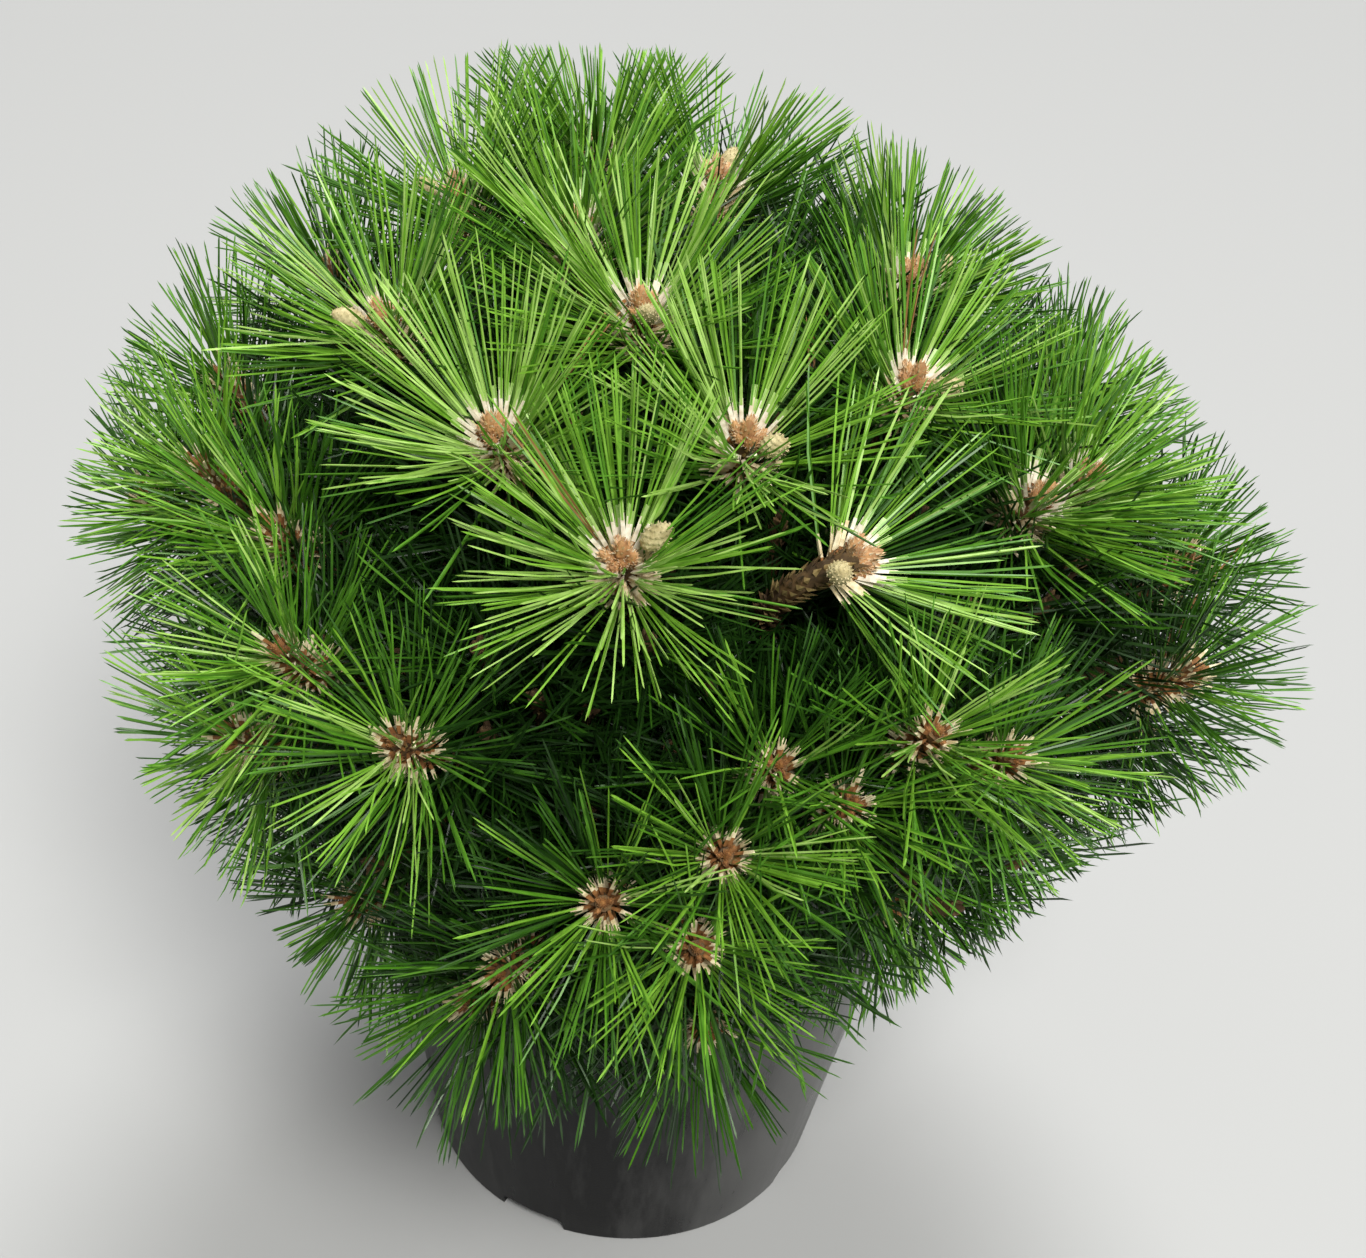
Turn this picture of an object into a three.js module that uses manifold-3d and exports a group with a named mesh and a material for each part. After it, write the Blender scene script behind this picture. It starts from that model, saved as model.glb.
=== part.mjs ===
// A dwarf Austrian pine in its nursery pot, in millimetres, +Z up, with the origin at the middle of the
// pot's flat underside. Azimuth 0 is the front, towards -Y, and azimuth 90 is towards +X.
// A short trunk stands in the filled pot. Boughs leave it at staggered heights, and each one carries a mass:
// a stem that forks into shoots, with a bud at the tip of each shoot and fans of long needles round it.
import * as THREE from "three";
import { mergeVertices } from "three/addons/utils/BufferGeometryUtils.js";
import Module from "manifold-3d";

const wasm = await Module();
wasm.setup();

// Driving dimensions.
const CLEARANCE = 0.3;
const ROUND_SIDES = 32;

const POT = {
  footRadius: 105,
  rimRadius: 140,
  height: 220,
  wall: 3,
  base: 5,
  cornerRadius: 88,
  cornerHeight: 13,
  footRound: 2,
  rimBand: 22,
  rimStep: 3,
  lipStep: 3,
  lipHeight: 5,
};
const NOTCH = { count: 4, firstAzimuth: -23, width: 37, height: 10, depth: 14 };
const DRAIN = { count: 4, ringRadius: 62, radius: 7, sides: 10 };
const SOIL = { rimDrop: 20, moundRadius: 40, moundHeight: 6, collarRadius: 26 };

const TRUNK = {
  tip: [-5, 4, 402],
  bend: [9, -7, 300],
  flareRadius: 19,
  flareHeight: 16,
  footRadius: 12.5,
  tipRadius: 5.2,
  sides: 10,
  steps: 8,
};
const BOUGH = {
  baseRadius: 5,
  tipRadius: 3.6,
  sides: 5,
  steps: 4,
  lowestSeat: 0.1,
  highestSeat: 0.96,
  stagger: 0.035,
  sag: 0.25,
  steepSag: 0.075,
};

// The crown is an ellipsoid. The shoots end inside it, on the bud shell, and the needle tips reach its edge,
// which swells and narrows from one leader to the next.
const CROWN = { centre: [6, 0, 336], radius: [304, 296, 257], blend: 20 };
const HEART = [2, 0, 262];
const BUD_SHELL = 0.8;
// Each mass's place, as shares of the way from the heart of the crown to its leading shoot's bud.
const MASS = { site: 0.62, stemLength: 0.12, fork: 0.62, lastFork: 0.8, forkStep: 0.02, forkDepth: 8.4 };
// Needles keep this far from the edge of their mass's space, from other limbs and from the pot.
const KEEP_CLEAR = { space: 4.2, limb: 4.5, pot: 9, step: 6, samples: 24 };

// Each line is one leading shoot, which gives its mass its place: [azimuth, elevation, reach as a share of
// the bud shell, the crown's edge there as a share of the ellipsoid].
const LEADERS = [
  [-22, 74, 1.0, 1.0],
  [10, 59, 1.0, 1.0],
  [53, 62, 0.98, 0.98],
  [113, 64, 0.94, 0.9],
  [180, 68, 1.0, 0.99],
  [-115, 60, 1.05, 1.07],
  [-73, 55, 1.01, 1.02],
  [-33, 54, 1.0, 1.0],
  [-7, 45, 1.03, 1.03],
  [23, 45, 1.03, 1.03],
  [72, 41, 0.98, 0.96],
  [-72, 29, 1.04, 0.97],
  [-43, 23, 1.02, 1.0],
  [-27, 20, 1.0, 1.0],
  [-4, 8, 1.0, 1.02],
  [13, 23, 0.92, 0.95],
  [29, 26, 1.0, 0.95],
  [69, 16, 1.04, 1.01],
  [-60, -10, 0.84, 0.82],
  [52, -10, 0.74, 0.74],
  [101, 38, 0.92, 0.88],
  [146, 39, 0.98, 0.95],
  [-157, 36, 1.03, 1.03],
  [-113, 10, 0.95, 0.9],
  [115, 4, 0.93, 0.91],
  [160, 3, 0.95, 0.95],
  [-152, 0, 0.95, 0.95],
  [-113, 38, 1.03, 1.0],
];
// Side shoots that stand out beside a leading shoot: [its line above, azimuth, elevation, reach].
const SIDE_SHOOTS = [
  [11, -95, 28, 1.03],
  [11, -85, 15, 1.06],
  [11, -57, 31, 0.97],
  [12, -47, 10, 1.02],
  [14, 5, 3, 1.0],
  [14, -14, -8, 0.97],
  [14, 8, -20, 0.93],
  [14, -19, -20, 0.95],
  [15, 7, 15, 1.0],
  [15, 21, 18, 0.93],
  [16, 39, 20, 0.98],
  [17, 83, 22, 1.03],
  [18, -82, -6, 0.84],
  [18, -38, -17, 0.9],
  [19, 34, -13, 0.78],
  [19, 70, -8, 0.72],
  [10, 60, 44, 0.97],
  [21, 140, 18, 0.96],
  [0, -92, 76, 1.0],
  [5, -150, 64, 1.06],
];
// A leading shoot that lies over to one side: its line above, the azimuth that it leans to and how far.
const LEAN = { line: 9, azimuth: 105, reach: 2.4 };

const SHOOT = {
  lowSpacing: 62,
  topSpacing: 66,
  darts: 40,
  mostPerMass: 4,
  lowestTilt: -22,
  highestTilt: 88,
  nearest: 19,
  farthest: 34,
  shortfall: 0.1,
  uplift: 0.88,
  bend: 0.5,
  needledLength: 62,
  bareShare: 0.25,
  stemRadius: 3.4,
  twigRadius: 2.7,
  coreRadius: 4.6,
  collarRadius: 3.4,
  budRadius: 5,
  budLength: 17,
  sides: 4,
};
// A fan stands for a spray of needles: a blade with one tooth for each needle.
const FAN = {
  count: 4,
  teeth: 5,
  spread: 90,
  rootOffset: 1.4,
  length: 92,
  lengthVariation: 0.08,
  shortest: 40,
  valley: 0.44,
  thickest: 0.13,
  halfThickness: 1.7,
  backAngle: 80,
  tipAngle: 32,
  jitter: 8,
  droop: 0.1,
};
const CONELET = {
  lowestElevation: 40,
  radius: 5.5,
  length: 17,
  offset: 9,
  sides: 5,
  outline: [
    [0, 0.5],
    [0.5, 1],
    [0.85, 0.7],
  ],
};
const GOLDEN_ANGLE = Math.PI * (3 - Math.sqrt(5));
const SEED = 20417;

const V = (p) => new THREE.Vector3(...p);
const toRadians = THREE.MathUtils.degToRad;
const lerp = THREE.MathUtils.lerp;
const UP = new THREE.Vector3(0, 0, 1);

const MATERIALS = {
  pot: new THREE.MeshStandardMaterial({ color: 0x1d1d20, roughness: 0.5, metalness: 0 }),
  soil: new THREE.MeshStandardMaterial({ color: 0x2a1d14, roughness: 1, metalness: 0 }),
  bark: new THREE.MeshStandardMaterial({ color: 0x6a4c35, roughness: 0.9, metalness: 0 }),
  needles: new THREE.MeshStandardMaterial({ color: 0x3f8a26, roughness: 0.5, metalness: 0 }),
};

// Seeded random numbers from 0 to 1, the same in any language with 32-bit whole numbers.
function randomSource(seed) {
  let state = seed;
  return () => {
    state = (Math.imul(1664525, state) + 1013904223) >>> 0;
    return state / 2 ** 32;
  };
}

// Solids: three.js makes every shape, and manifold-3d only joins and cuts.
function solidOf(geometry) {
  const bare = geometry.index ? geometry.toNonIndexed() : geometry.clone();
  const points = new THREE.BufferGeometry().setAttribute("position", bare.getAttribute("position"));
  const merged = mergeVertices(points, 1e-4);
  return new wasm.Manifold(
    new wasm.Mesh({
      numProp: 3,
      vertProperties: new Float32Array(merged.attributes.position.array),
      triVerts: new Uint32Array(merged.index.array),
    }),
  );
}

function geometryOf(solid) {
  const mesh = solid.getMesh();
  return new THREE.BufferGeometry()
    .setAttribute("position", new THREE.BufferAttribute(new Float32Array(mesh.vertProperties), 3))
    .setIndex(new THREE.BufferAttribute(new Uint32Array(mesh.triVerts), 1));
}

// The largest closed body of a solid, with loose scraps dropped and sealed hollows filled.
function largestBody(solid) {
  return solid.decompose().reduce((best, body) => (body.volume() > best.volume() ? body : best));
}

// A closed tube of rings along a curve. rings is a list of [share of the curve, radius].
function limbGeometry(curve, rings, sides, tipLength = 0) {
  const start = curve.getTangent(0);
  const reference = Math.abs(start.z) < 0.9 ? UP : V([1, 0, 0]);
  let side = new THREE.Vector3().crossVectors(start, reference).normalize();
  const positions = [];
  const addRing = (centre, tangent, radius) => {
    side = side.clone().addScaledVector(tangent, -side.dot(tangent)).normalize();
    const across = new THREE.Vector3().crossVectors(tangent, side);
    for (let k = 0; k < sides; k++) {
      const angle = (2 * Math.PI * k) / sides;
      const point = centre.clone();
      point.addScaledVector(side, radius * Math.cos(angle)).addScaledVector(across, radius * Math.sin(angle));
      positions.push(point.x, point.y, point.z);
    }
  };
  rings.forEach(([share, radius]) => {
    addRing(curve.getPoint(share), curve.getTangent(Math.max(0, share)), radius);
  });
  const foot = curve.getPoint(rings[0][0]);
  const tip = curve.getPoint(1).addScaledVector(curve.getTangent(1), tipLength);
  positions.push(foot.x, foot.y, foot.z, tip.x, tip.y, tip.z);
  const footIndex = rings.length * sides;
  const index = [];
  for (let k = 0; k < sides; k++) {
    const next = (k + 1) % sides;
    index.push(footIndex, next, k);
    for (let ring = 0; ring < rings.length - 1; ring++) {
      const [a, b] = [ring * sides + k, ring * sides + next];
      index.push(a, b, b + sides, a, b + sides, a + sides);
    }
    const last = (rings.length - 1) * sides;
    index.push(last + k, last + next, footIndex + 1);
  }
  return new THREE.BufferGeometry()
    .setAttribute("position", new THREE.BufferAttribute(new Float32Array(positions), 3))
    .setIndex(index);
}

// Pot: a lathed wall with a stepped rim, a thick corner at its foot that holds the drainage notches, and drain
// holes in the base.
const potSlope = (POT.rimRadius - POT.footRadius) / POT.height;
const potOuter = (z) => POT.footRadius + potSlope * z;
const potInner = (z) => potOuter(z) - POT.wall;
const bandFoot = POT.height - POT.rimBand;
const lipFoot = POT.height - POT.lipHeight;
const potReach = potOuter(POT.height) + POT.rimStep + POT.lipStep;

function lathe(profile) {
  const points = profile.map(([radius, z]) => new THREE.Vector2(radius, z));
  return new THREE.LatheGeometry(points, ROUND_SIDES).rotateX(Math.PI / 2);
}

function potSolid() {
  let pot = solidOf(
    lathe([
      [0, 0],
      [POT.footRadius - POT.footRound, 0],
      [potOuter(POT.footRound), POT.footRound],
      [potOuter(bandFoot), bandFoot],
      [potOuter(bandFoot) + POT.rimStep, bandFoot + POT.rimStep],
      [potOuter(lipFoot) + POT.rimStep, lipFoot],
      [potReach, lipFoot + POT.footRound],
      [potReach, POT.height],
      [potInner(POT.height), POT.height],
      [potInner(POT.cornerHeight), POT.cornerHeight],
      [POT.cornerRadius, POT.cornerHeight],
      [POT.cornerRadius, POT.base],
      [0, POT.base],
    ]),
  );
  for (let n = 0; n < NOTCH.count; n++) {
    const azimuth = toRadians(NOTCH.firstAzimuth + (360 / NOTCH.count) * n);
    const notch = new THREE.BoxGeometry(NOTCH.width, 2 * NOTCH.depth, 2 * NOTCH.height);
    notch.translate(0, -POT.footRadius, 0).rotateZ(azimuth);
    pot = pot.subtract(solidOf(notch));
  }
  for (let n = 0; n < DRAIN.count; n++) {
    const hole = new THREE.CylinderGeometry(DRAIN.radius, DRAIN.radius, 4 * POT.base, DRAIN.sides);
    const azimuth = toRadians(NOTCH.firstAzimuth + (360 / DRAIN.count) * (n + 0.5));
    hole.rotateX(Math.PI / 2).translate(0, -DRAIN.ringRadius, 0).rotateZ(azimuth);
    pot = pot.subtract(solidOf(hole));
  }
  return pot;
}

// Soil: fills the pot to just under its rim, with a low mound whose flat collar carries the trunk.
const soilEdge = POT.height - SOIL.rimDrop;
const soilTop = soilEdge + SOIL.moundHeight;

function soilSolid() {
  const [floor, shelf] = [POT.base + CLEARANCE, POT.cornerHeight + CLEARANCE];
  return solidOf(
    lathe([
      [0, floor],
      [POT.cornerRadius - CLEARANCE, floor],
      [POT.cornerRadius - CLEARANCE, shelf],
      [potInner(shelf) - CLEARANCE, shelf],
      [potInner(soilEdge) - CLEARANCE, soilEdge],
      [SOIL.moundRadius, soilEdge + SOIL.moundHeight / 2],
      [SOIL.collarRadius, soilTop],
      [0, soilTop],
    ]),
  );
}

// Trunk: cut flat where it meets the soil, with a flare there, and tapers to the leading shoot's stem.
const trunkFoot = soilTop + CLEARANCE;
const trunkCurve = new THREE.QuadraticBezierCurve3(V([0, 0, trunkFoot]), V(TRUNK.bend), V(TRUNK.tip));

function trunkRadius(share) {
  const height = Math.max(0, trunkCurve.getPoint(share).z - trunkFoot);
  const flare = (TRUNK.flareRadius - TRUNK.footRadius) * Math.exp(-height / TRUNK.flareHeight);
  return lerp(TRUNK.footRadius, TRUNK.tipRadius, share) + flare;
}

function trunkSolid(extra = 0) {
  const shares = [-0.02, 0.05, 0.12];
  for (let n = 2; n <= TRUNK.steps; n++) shares.push(n / TRUNK.steps);
  const rings = shares.map((share) => [share, trunkRadius(share) + extra]);
  const ground = new THREE.BoxGeometry(4 * POT.rimRadius, 4 * POT.rimRadius, POT.height);
  ground.translate(0, 0, trunkFoot - POT.height / 2);
  return solidOf(limbGeometry(trunkCurve, rings, TRUNK.sides)).subtract(solidOf(ground));
}

// Crown: places on the shells, and the space that each mass keeps to.
const crownCentre = V(CROWN.centre);
const crownRadius = V(CROWN.radius);

function crownDirection([azimuth, elevation]) {
  const [a, e] = [toRadians(azimuth), toRadians(elevation)];
  return V([Math.sin(a) * Math.cos(e), -Math.cos(a) * Math.cos(e), Math.sin(e)]);
}

function crownPoint(azimuth, elevation, share) {
  return crownDirection([azimuth, elevation]).multiplyScalar(share).multiply(crownRadius).add(crownCentre);
}

// Whether a point is inside the crown's edge, which is blended from the leaders by their direction from it.
const leaderDirections = LEADERS.map(crownDirection);

function isInCrown(point) {
  const place = point.clone().sub(crownCentre).divide(crownRadius);
  const share = place.length();
  const weights = leaderDirections.map((leader) => Math.exp((CROWN.blend * leader.dot(place)) / share));
  const total = weights.reduce((sum, weight) => sum + weight);
  const edge = weights.reduce((sum, weight, i) => sum + weight * LEADERS[i][3], 0) / total;
  return share < edge;
}

const sites = LEADERS.map(([azimuth, elevation]) => crownPoint(azimuth, elevation, MASS.site));

// How far a point lies inside mass i's space: its distance to the nearest plane halfway to another site.
function depthInSpace(point, i) {
  let depth = Infinity;
  sites.forEach((other, j) => {
    if (j === i) return;
    const towards = new THREE.Vector3().subVectors(other, sites[i]);
    const middle = new THREE.Vector3().addVectors(other, sites[i]).multiplyScalar(0.5);
    depth = Math.min(depth, middle.sub(point).dot(towards) / towards.length());
  });
  return depth;
}

const heart = V(HEART);
const budPoint = ([azimuth, elevation, reach]) => crownPoint(azimuth, elevation, BUD_SHELL * reach);
const buds = LEADERS.map((leader) => [budPoint(leader)]);
SIDE_SHOOTS.forEach(([i, ...place]) => buds[i].push(budPoint(place)));

// More side shoots: seeded darts thrown on the bud shell round each leader. One that lands in the mass's own
// space, clear of every other bud, becomes a shoot.
const random = randomSource(SEED);
LEADERS.forEach(([azimuth, elevation, reach], i) => {
  for (let dart = 0; dart < SHOOT.darts; dart++) {
    const bearing = 2 * Math.PI * random();
    const away = lerp(SHOOT.nearest, SHOOT.farthest, random());
    const place = reach - SHOOT.shortfall * random();
    const tilt = elevation + away * Math.sin(bearing);
    const turn = (away * Math.cos(bearing)) / Math.cos(toRadians(elevation));
    if (tilt < SHOOT.lowestTilt || tilt > SHOOT.highestTilt) continue;
    if (buds[i].length >= SHOOT.mostPerMass) continue;
    const bud = budPoint([azimuth + turn, tilt, place]);
    const spacing = lerp(SHOOT.lowSpacing, SHOOT.topSpacing, Math.max(0, Math.sin(toRadians(tilt))));
    const isClear = buds.every((group) => group.every((other) => other.distanceTo(bud) > spacing));
    if (isClear && depthInSpace(bud, i) > SHOOT.budRadius + KEEP_CLEAR.space) buds[i].push(bud);
  }
});

function pathShare(i, share) {
  return heart.clone().lerp(buds[i][0], share);
}

// The fork is moved out along the leader until it is inside the mass's own space.
function forkShare(i) {
  let share = MASS.fork;
  while (share < MASS.lastFork && depthInSpace(pathShare(i, share), i) < MASS.forkDepth) {
    share += MASS.forkStep;
  }
  return share;
}

// Boughs: each leaves the trunk at a seat set by its leader's elevation and bends up to its mass.
const elevations = LEADERS.map(([, elevation]) => elevation);
const [lowest, highest] = [Math.min(...elevations), Math.max(...elevations)];

function boughCurve(i) {
  const rank = (LEADERS[i][1] - lowest) / (highest - lowest);
  const stagger = BOUGH.stagger * (((3 * i) % 5) - 2) * (1 - rank);
  const start = trunkCurve.getPoint(lerp(BOUGH.lowestSeat, BOUGH.highestSeat, rank) + stagger);
  const end = pathShare(i, forkShare(i) - MASS.stemLength);
  const bend = start.clone().lerp(end, 0.5);
  bend.z -= lerp(BOUGH.sag, BOUGH.steepSag, rank) * Math.hypot(end.x - start.x, end.y - start.y);
  bend.z = Math.max(bend.z, POT.height + 2 * BOUGH.baseRadius, start.z);
  return new THREE.QuadraticBezierCurve3(start, bend, end);
}

function limbRings(first, last, steps) {
  return Array.from({ length: steps + 1 }, (_, n) => [n / steps, lerp(first, last, n / steps)]);
}

function boughSolid(curve, extra = 0) {
  const rings = limbRings(BOUGH.baseRadius + extra, BOUGH.tipRadius + extra, BOUGH.steps);
  return solidOf(limbGeometry(curve, rings, BOUGH.sides));
}

// The first leader stands on the trunk's own tip, so it has no bough.
const boughCurves = LEADERS.map((_, i) => (i === 0 ? null : boughCurve(i)));
const limbSamples = [[trunkCurve, trunkRadius]];
boughCurves.forEach((curve) => {
  if (curve) limbSamples.push([curve, (share) => lerp(BOUGH.baseRadius, BOUGH.tipRadius, share)]);
});
const limbPoints = limbSamples.flatMap(([curve, radiusAt]) =>
  Array.from({ length: KEEP_CLEAR.samples + 1 }, (_, n) => {
    const share = n / KEEP_CLEAR.samples;
    return { point: curve.getPoint(share), radius: radiusAt(share) };
  }),
);

function isClearOfPot(point) {
  return point.z > POT.height + KEEP_CLEAR.pot || Math.hypot(point.x, point.y) > potReach + KEEP_CLEAR.pot;
}

// The longest that a straight needle may be: inside the crown and its own space, clear of limbs and the pot.
function needleRoom(root, direction, i, wanted) {
  for (let length = KEEP_CLEAR.step; length <= wanted; length += KEEP_CLEAR.step) {
    const point = root.clone().addScaledVector(direction, length);
    const nearLimb = limbPoints.some((limb) => limb.point.distanceTo(point) < limb.radius + KEEP_CLEAR.limb);
    const isInside = depthInSpace(point, i) > KEEP_CLEAR.space && isInCrown(point);
    if (nearLimb || !isInside || !isClearOfPot(point)) return length - KEEP_CLEAR.step;
  }
  return wanted;
}

// The direction across the axis at a turn about it. Turn 0 is level.
function acrossAxis(axis, turn) {
  return new THREE.Vector3().crossVectors(axis, UP).normalize().applyAxisAngle(axis, turn);
}

function needleDirection(axis, turn, angle) {
  const side = acrossAxis(axis, turn);
  const direction = axis.clone().multiplyScalar(Math.cos(angle)).addScaledVector(side, Math.sin(angle));
  return direction.addScaledVector(UP, -FAN.droop).normalize();
}

// A fan's outline runs from its root to each tooth's tip and back to a valley between two teeth. Above and
// below it, an apex near the root makes the blade thick there and sharp at its edge.
function fanSolid(root, outline, middle, normal) {
  const apexes = [1, -1].map((sign) => middle.clone().addScaledVector(normal, sign * FAN.halfThickness));
  const positions = [root, ...outline, ...apexes].flatMap((point) => point.toArray());
  const rim = outline.length + 1;
  const index = [];
  for (let k = 0; k < rim; k++) {
    const next = (k + 1) % rim;
    index.push(rim, k, next, rim + 1, next, k);
  }
  const blade = new THREE.BufferGeometry().setIndex(index);
  return solidOf(blade.setAttribute("position", new THREE.Float32BufferAttribute(positions, 3)));
}

// A fan with fewer than two teeth that have room, or with no room between them, is skipped.
function fan(root, axis, turn, angle, i) {
  const teeth = [];
  for (let n = 0; n < FAN.teeth; n++) {
    const offset = FAN.spread * (n / (FAN.teeth - 1) - 0.5);
    const tilt = angle + FAN.jitter * (2 * random() - 1);
    const direction = needleDirection(axis, turn + toRadians(offset), toRadians(tilt));
    const wanted = FAN.length * (1 + FAN.lengthVariation * (2 * random() - 1));
    const room = needleRoom(root, direction, i, wanted);
    if (room >= FAN.shortest) teeth.push({ direction, room });
  }
  if (teeth.length < 2) return null;
  const outline = [];
  for (const [n, tooth] of teeth.entries()) {
    if (n > 0) {
      const before = teeth[n - 1];
      const between = before.direction.clone().add(tooth.direction).normalize();
      const wanted = FAN.valley * Math.min(before.room, tooth.room);
      if (needleRoom(root, between, i, wanted) < wanted) return null;
      outline.push(root.clone().addScaledVector(between, wanted));
    }
    outline.push(root.clone().addScaledVector(tooth.direction, tooth.room));
  }
  const [first, last] = [teeth[0].direction, teeth[teeth.length - 1].direction];
  const normal = new THREE.Vector3().crossVectors(first, last).normalize();
  const shortest = Math.min(...teeth.map((tooth) => tooth.room));
  const middle = root.clone().addScaledVector(first.clone().add(last).normalize(), FAN.thickest * shortest);
  return fanSolid(root, outline, middle, normal);
}

// The leaning shoot's pull to its side, and no pull for any other shoot.
function leanOf(i, n) {
  const azimuth = THREE.MathUtils.degToRad(LEAN.azimuth);
  const reach = i === LEAN.line && n === 0 ? LEAN.reach : 0;
  return V([reach * Math.sin(azimuth), -reach * Math.cos(azimuth), 0]);
}

// A shoot's path runs from the fork to its bud, and turns up towards the light at its tip.
function shootCurve(fork, bud, lean) {
  const outward = bud.clone().sub(V(CROWN.centre)).normalize();
  const facing = outward.addScaledVector(UP, SHOOT.uplift).add(lean).normalize();
  const bend = bud.clone().addScaledVector(facing, -SHOOT.bend * fork.distanceTo(bud));
  return new THREE.QuadraticBezierCurve3(fork, bend, bud);
}

// A young cone, shaped like an egg, beside the bud of an upper shoot.
function coneletSolid(bud, axis) {
  const side = acrossAxis(axis, 2 * Math.PI * random());
  const root = bud.clone().addScaledVector(side, 0.3 * CONELET.offset);
  const middle = bud.clone().addScaledVector(side, CONELET.offset).addScaledVector(axis, CONELET.length / 2);
  const tip = middle.clone().addScaledVector(axis, CONELET.length / 2);
  const rings = CONELET.outline.map(([share, width]) => [share, width * CONELET.radius]);
  return solidOf(limbGeometry(new THREE.QuadraticBezierCurve3(root, middle, tip), rings, CONELET.sides));
}

function shootSolids(curve, i, hasConelet) {
  const needledFrom = Math.max(SHOOT.bareShare, 1 - SHOOT.needledLength / curve.getLength());
  const rings = [
    [0, SHOOT.twigRadius],
    [needledFrom, SHOOT.twigRadius],
    [lerp(needledFrom, 1, 0.4), SHOOT.coreRadius],
    [lerp(needledFrom, 1, 0.85), SHOOT.collarRadius],
    [1, SHOOT.budRadius],
  ];
  const parts = [solidOf(limbGeometry(curve, rings, SHOOT.sides, SHOOT.budLength))];
  if (hasConelet) parts.push(coneletSolid(curve.getPoint(1), curve.getTangent(1)));
  for (let n = 0; n < FAN.count; n++) {
    const along = (n + 0.5) / FAN.count;
    const share = lerp(needledFrom, 0.97, along);
    const angle = lerp(FAN.backAngle, FAN.tipAngle, along);
    const [axis, turn] = [curve.getTangent(share), n * GOLDEN_ANGLE];
    const root = curve.getPoint(share).addScaledVector(acrossAxis(axis, turn), FAN.rootOffset);
    const blade = fan(root, axis, turn, angle, i);
    if (blade) parts.push(blade);
  }
  return parts;
}

function massSolid(i) {
  const entry = boughCurves[i] ?? trunkCurve;
  const heading = entry.getTangent(1);
  const start = entry.getPoint(1).addScaledVector(heading, CLEARANCE);
  const fork = pathShare(i, forkShare(i));
  const bend = start.clone().addScaledVector(heading, start.distanceTo(fork) / 2);
  const stem = new THREE.QuadraticBezierCurve3(start, bend, fork);
  const rings = limbRings(SHOOT.stemRadius, SHOOT.stemRadius, 2);
  const parts = [solidOf(limbGeometry(stem, rings, SHOOT.sides, SHOOT.stemRadius))];
  const hasConelet = LEADERS[i][1] > CONELET.lowestElevation;
  buds[i].forEach((bud, n) => {
    const curve = shootCurve(fork, bud, leanOf(i, n));
    parts.push(...shootSolids(curve, i, hasConelet && n === 0));
  });
  return largestBody(parts.reduce((whole, part) => whole.add(part)));
}

const tree = new THREE.Group();
function addNode(name, solid, material) {
  const mesh = new THREE.Mesh(geometryOf(solid), material);
  mesh.name = name;
  tree.add(mesh);
}

const twoDigits = (n) => String(n).padStart(2, "0");
addNode("pot", potSolid(), MATERIALS.pot);
addNode("soil", soilSolid(), MATERIALS.soil);
addNode("trunk", trunkSolid(), MATERIALS.bark);

// Where boughs crowd the trunk, each is cut clear of the trunk and of the boughs before it.
let taken = trunkSolid(CLEARANCE);
boughCurves.forEach((curve, i) => {
  if (!curve) return;
  addNode(`bough_${twoDigits(i)}`, largestBody(boughSolid(curve).subtract(taken)), MATERIALS.bark);
  taken = taken.add(boughSolid(curve, CLEARANCE));
});
LEADERS.forEach((_, i) => addNode(`mass_${twoDigits(i)}`, massSolid(i), MATERIALS.needles));

export default tree;
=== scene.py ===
"""A dwarf Austrian pine in its nursery pot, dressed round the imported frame.

Lengths are in metres and +Z is up. Azimuth 0 is the front, towards -Y, and azimuth 90 is towards +X.
Trunk, boughs, forks and buds grow by the same rule, sizes and seed as the frame's solids. From there the rule
is carried on to more shoots inside the crown and to single needles, sheaths, bud scales and young cones.
"""

import math

import bpy
import numpy as np
from mathutils import Matrix, Vector


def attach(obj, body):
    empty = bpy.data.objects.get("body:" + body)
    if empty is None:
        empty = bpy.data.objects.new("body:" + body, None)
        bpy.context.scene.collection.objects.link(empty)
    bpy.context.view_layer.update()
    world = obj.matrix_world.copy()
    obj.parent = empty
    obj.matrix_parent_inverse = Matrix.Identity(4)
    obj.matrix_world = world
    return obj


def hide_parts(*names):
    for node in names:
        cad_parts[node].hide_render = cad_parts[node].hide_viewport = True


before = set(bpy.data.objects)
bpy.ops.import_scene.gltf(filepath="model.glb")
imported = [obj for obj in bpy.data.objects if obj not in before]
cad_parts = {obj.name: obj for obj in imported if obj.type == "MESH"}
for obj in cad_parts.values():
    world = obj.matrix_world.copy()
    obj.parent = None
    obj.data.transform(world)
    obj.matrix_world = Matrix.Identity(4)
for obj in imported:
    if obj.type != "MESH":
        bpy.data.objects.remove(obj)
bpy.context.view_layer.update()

MM = 0.001
UP = np.array([0.0, 0.0, 1.0])
SIDEWAYS = np.array([1.0, 0.0, 0.0])
FULL_TURN = 2 * math.pi
GOLDEN_ANGLE = math.pi * (3 - math.sqrt(5))
NEAR_UPRIGHT = 0.9

# The growth rule's sizes, as in the solids.
SEED = 20417
POT_HEIGHT = 220 * MM
POT_FOOT_RADIUS = 105 * MM
POT_RIM_RADIUS = 140 * MM
POT_WALL = 3 * MM
POT_BASE = 5 * MM
POT_CORNER_RADIUS = 88 * MM
POT_CORNER_HEIGHT = 13 * MM
RIM_BAND = 22 * MM
RIM_STEP = 3 * MM
LIP_STEP = 3 * MM
LIP_HEIGHT = 5 * MM
SOIL_EDGE = 200 * MM
SOIL_TOP = 206 * MM
SOIL_COLLAR = 26 * MM
SOIL_MOUND = 40 * MM
TRUNK_BEND = np.array([9, -7, 300]) * MM
TRUNK_TIP = np.array([-5, 4, 402]) * MM
TRUNK_FOOT_RADIUS = 12.5 * MM
TRUNK_FLARE_RADIUS = 19 * MM
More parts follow.
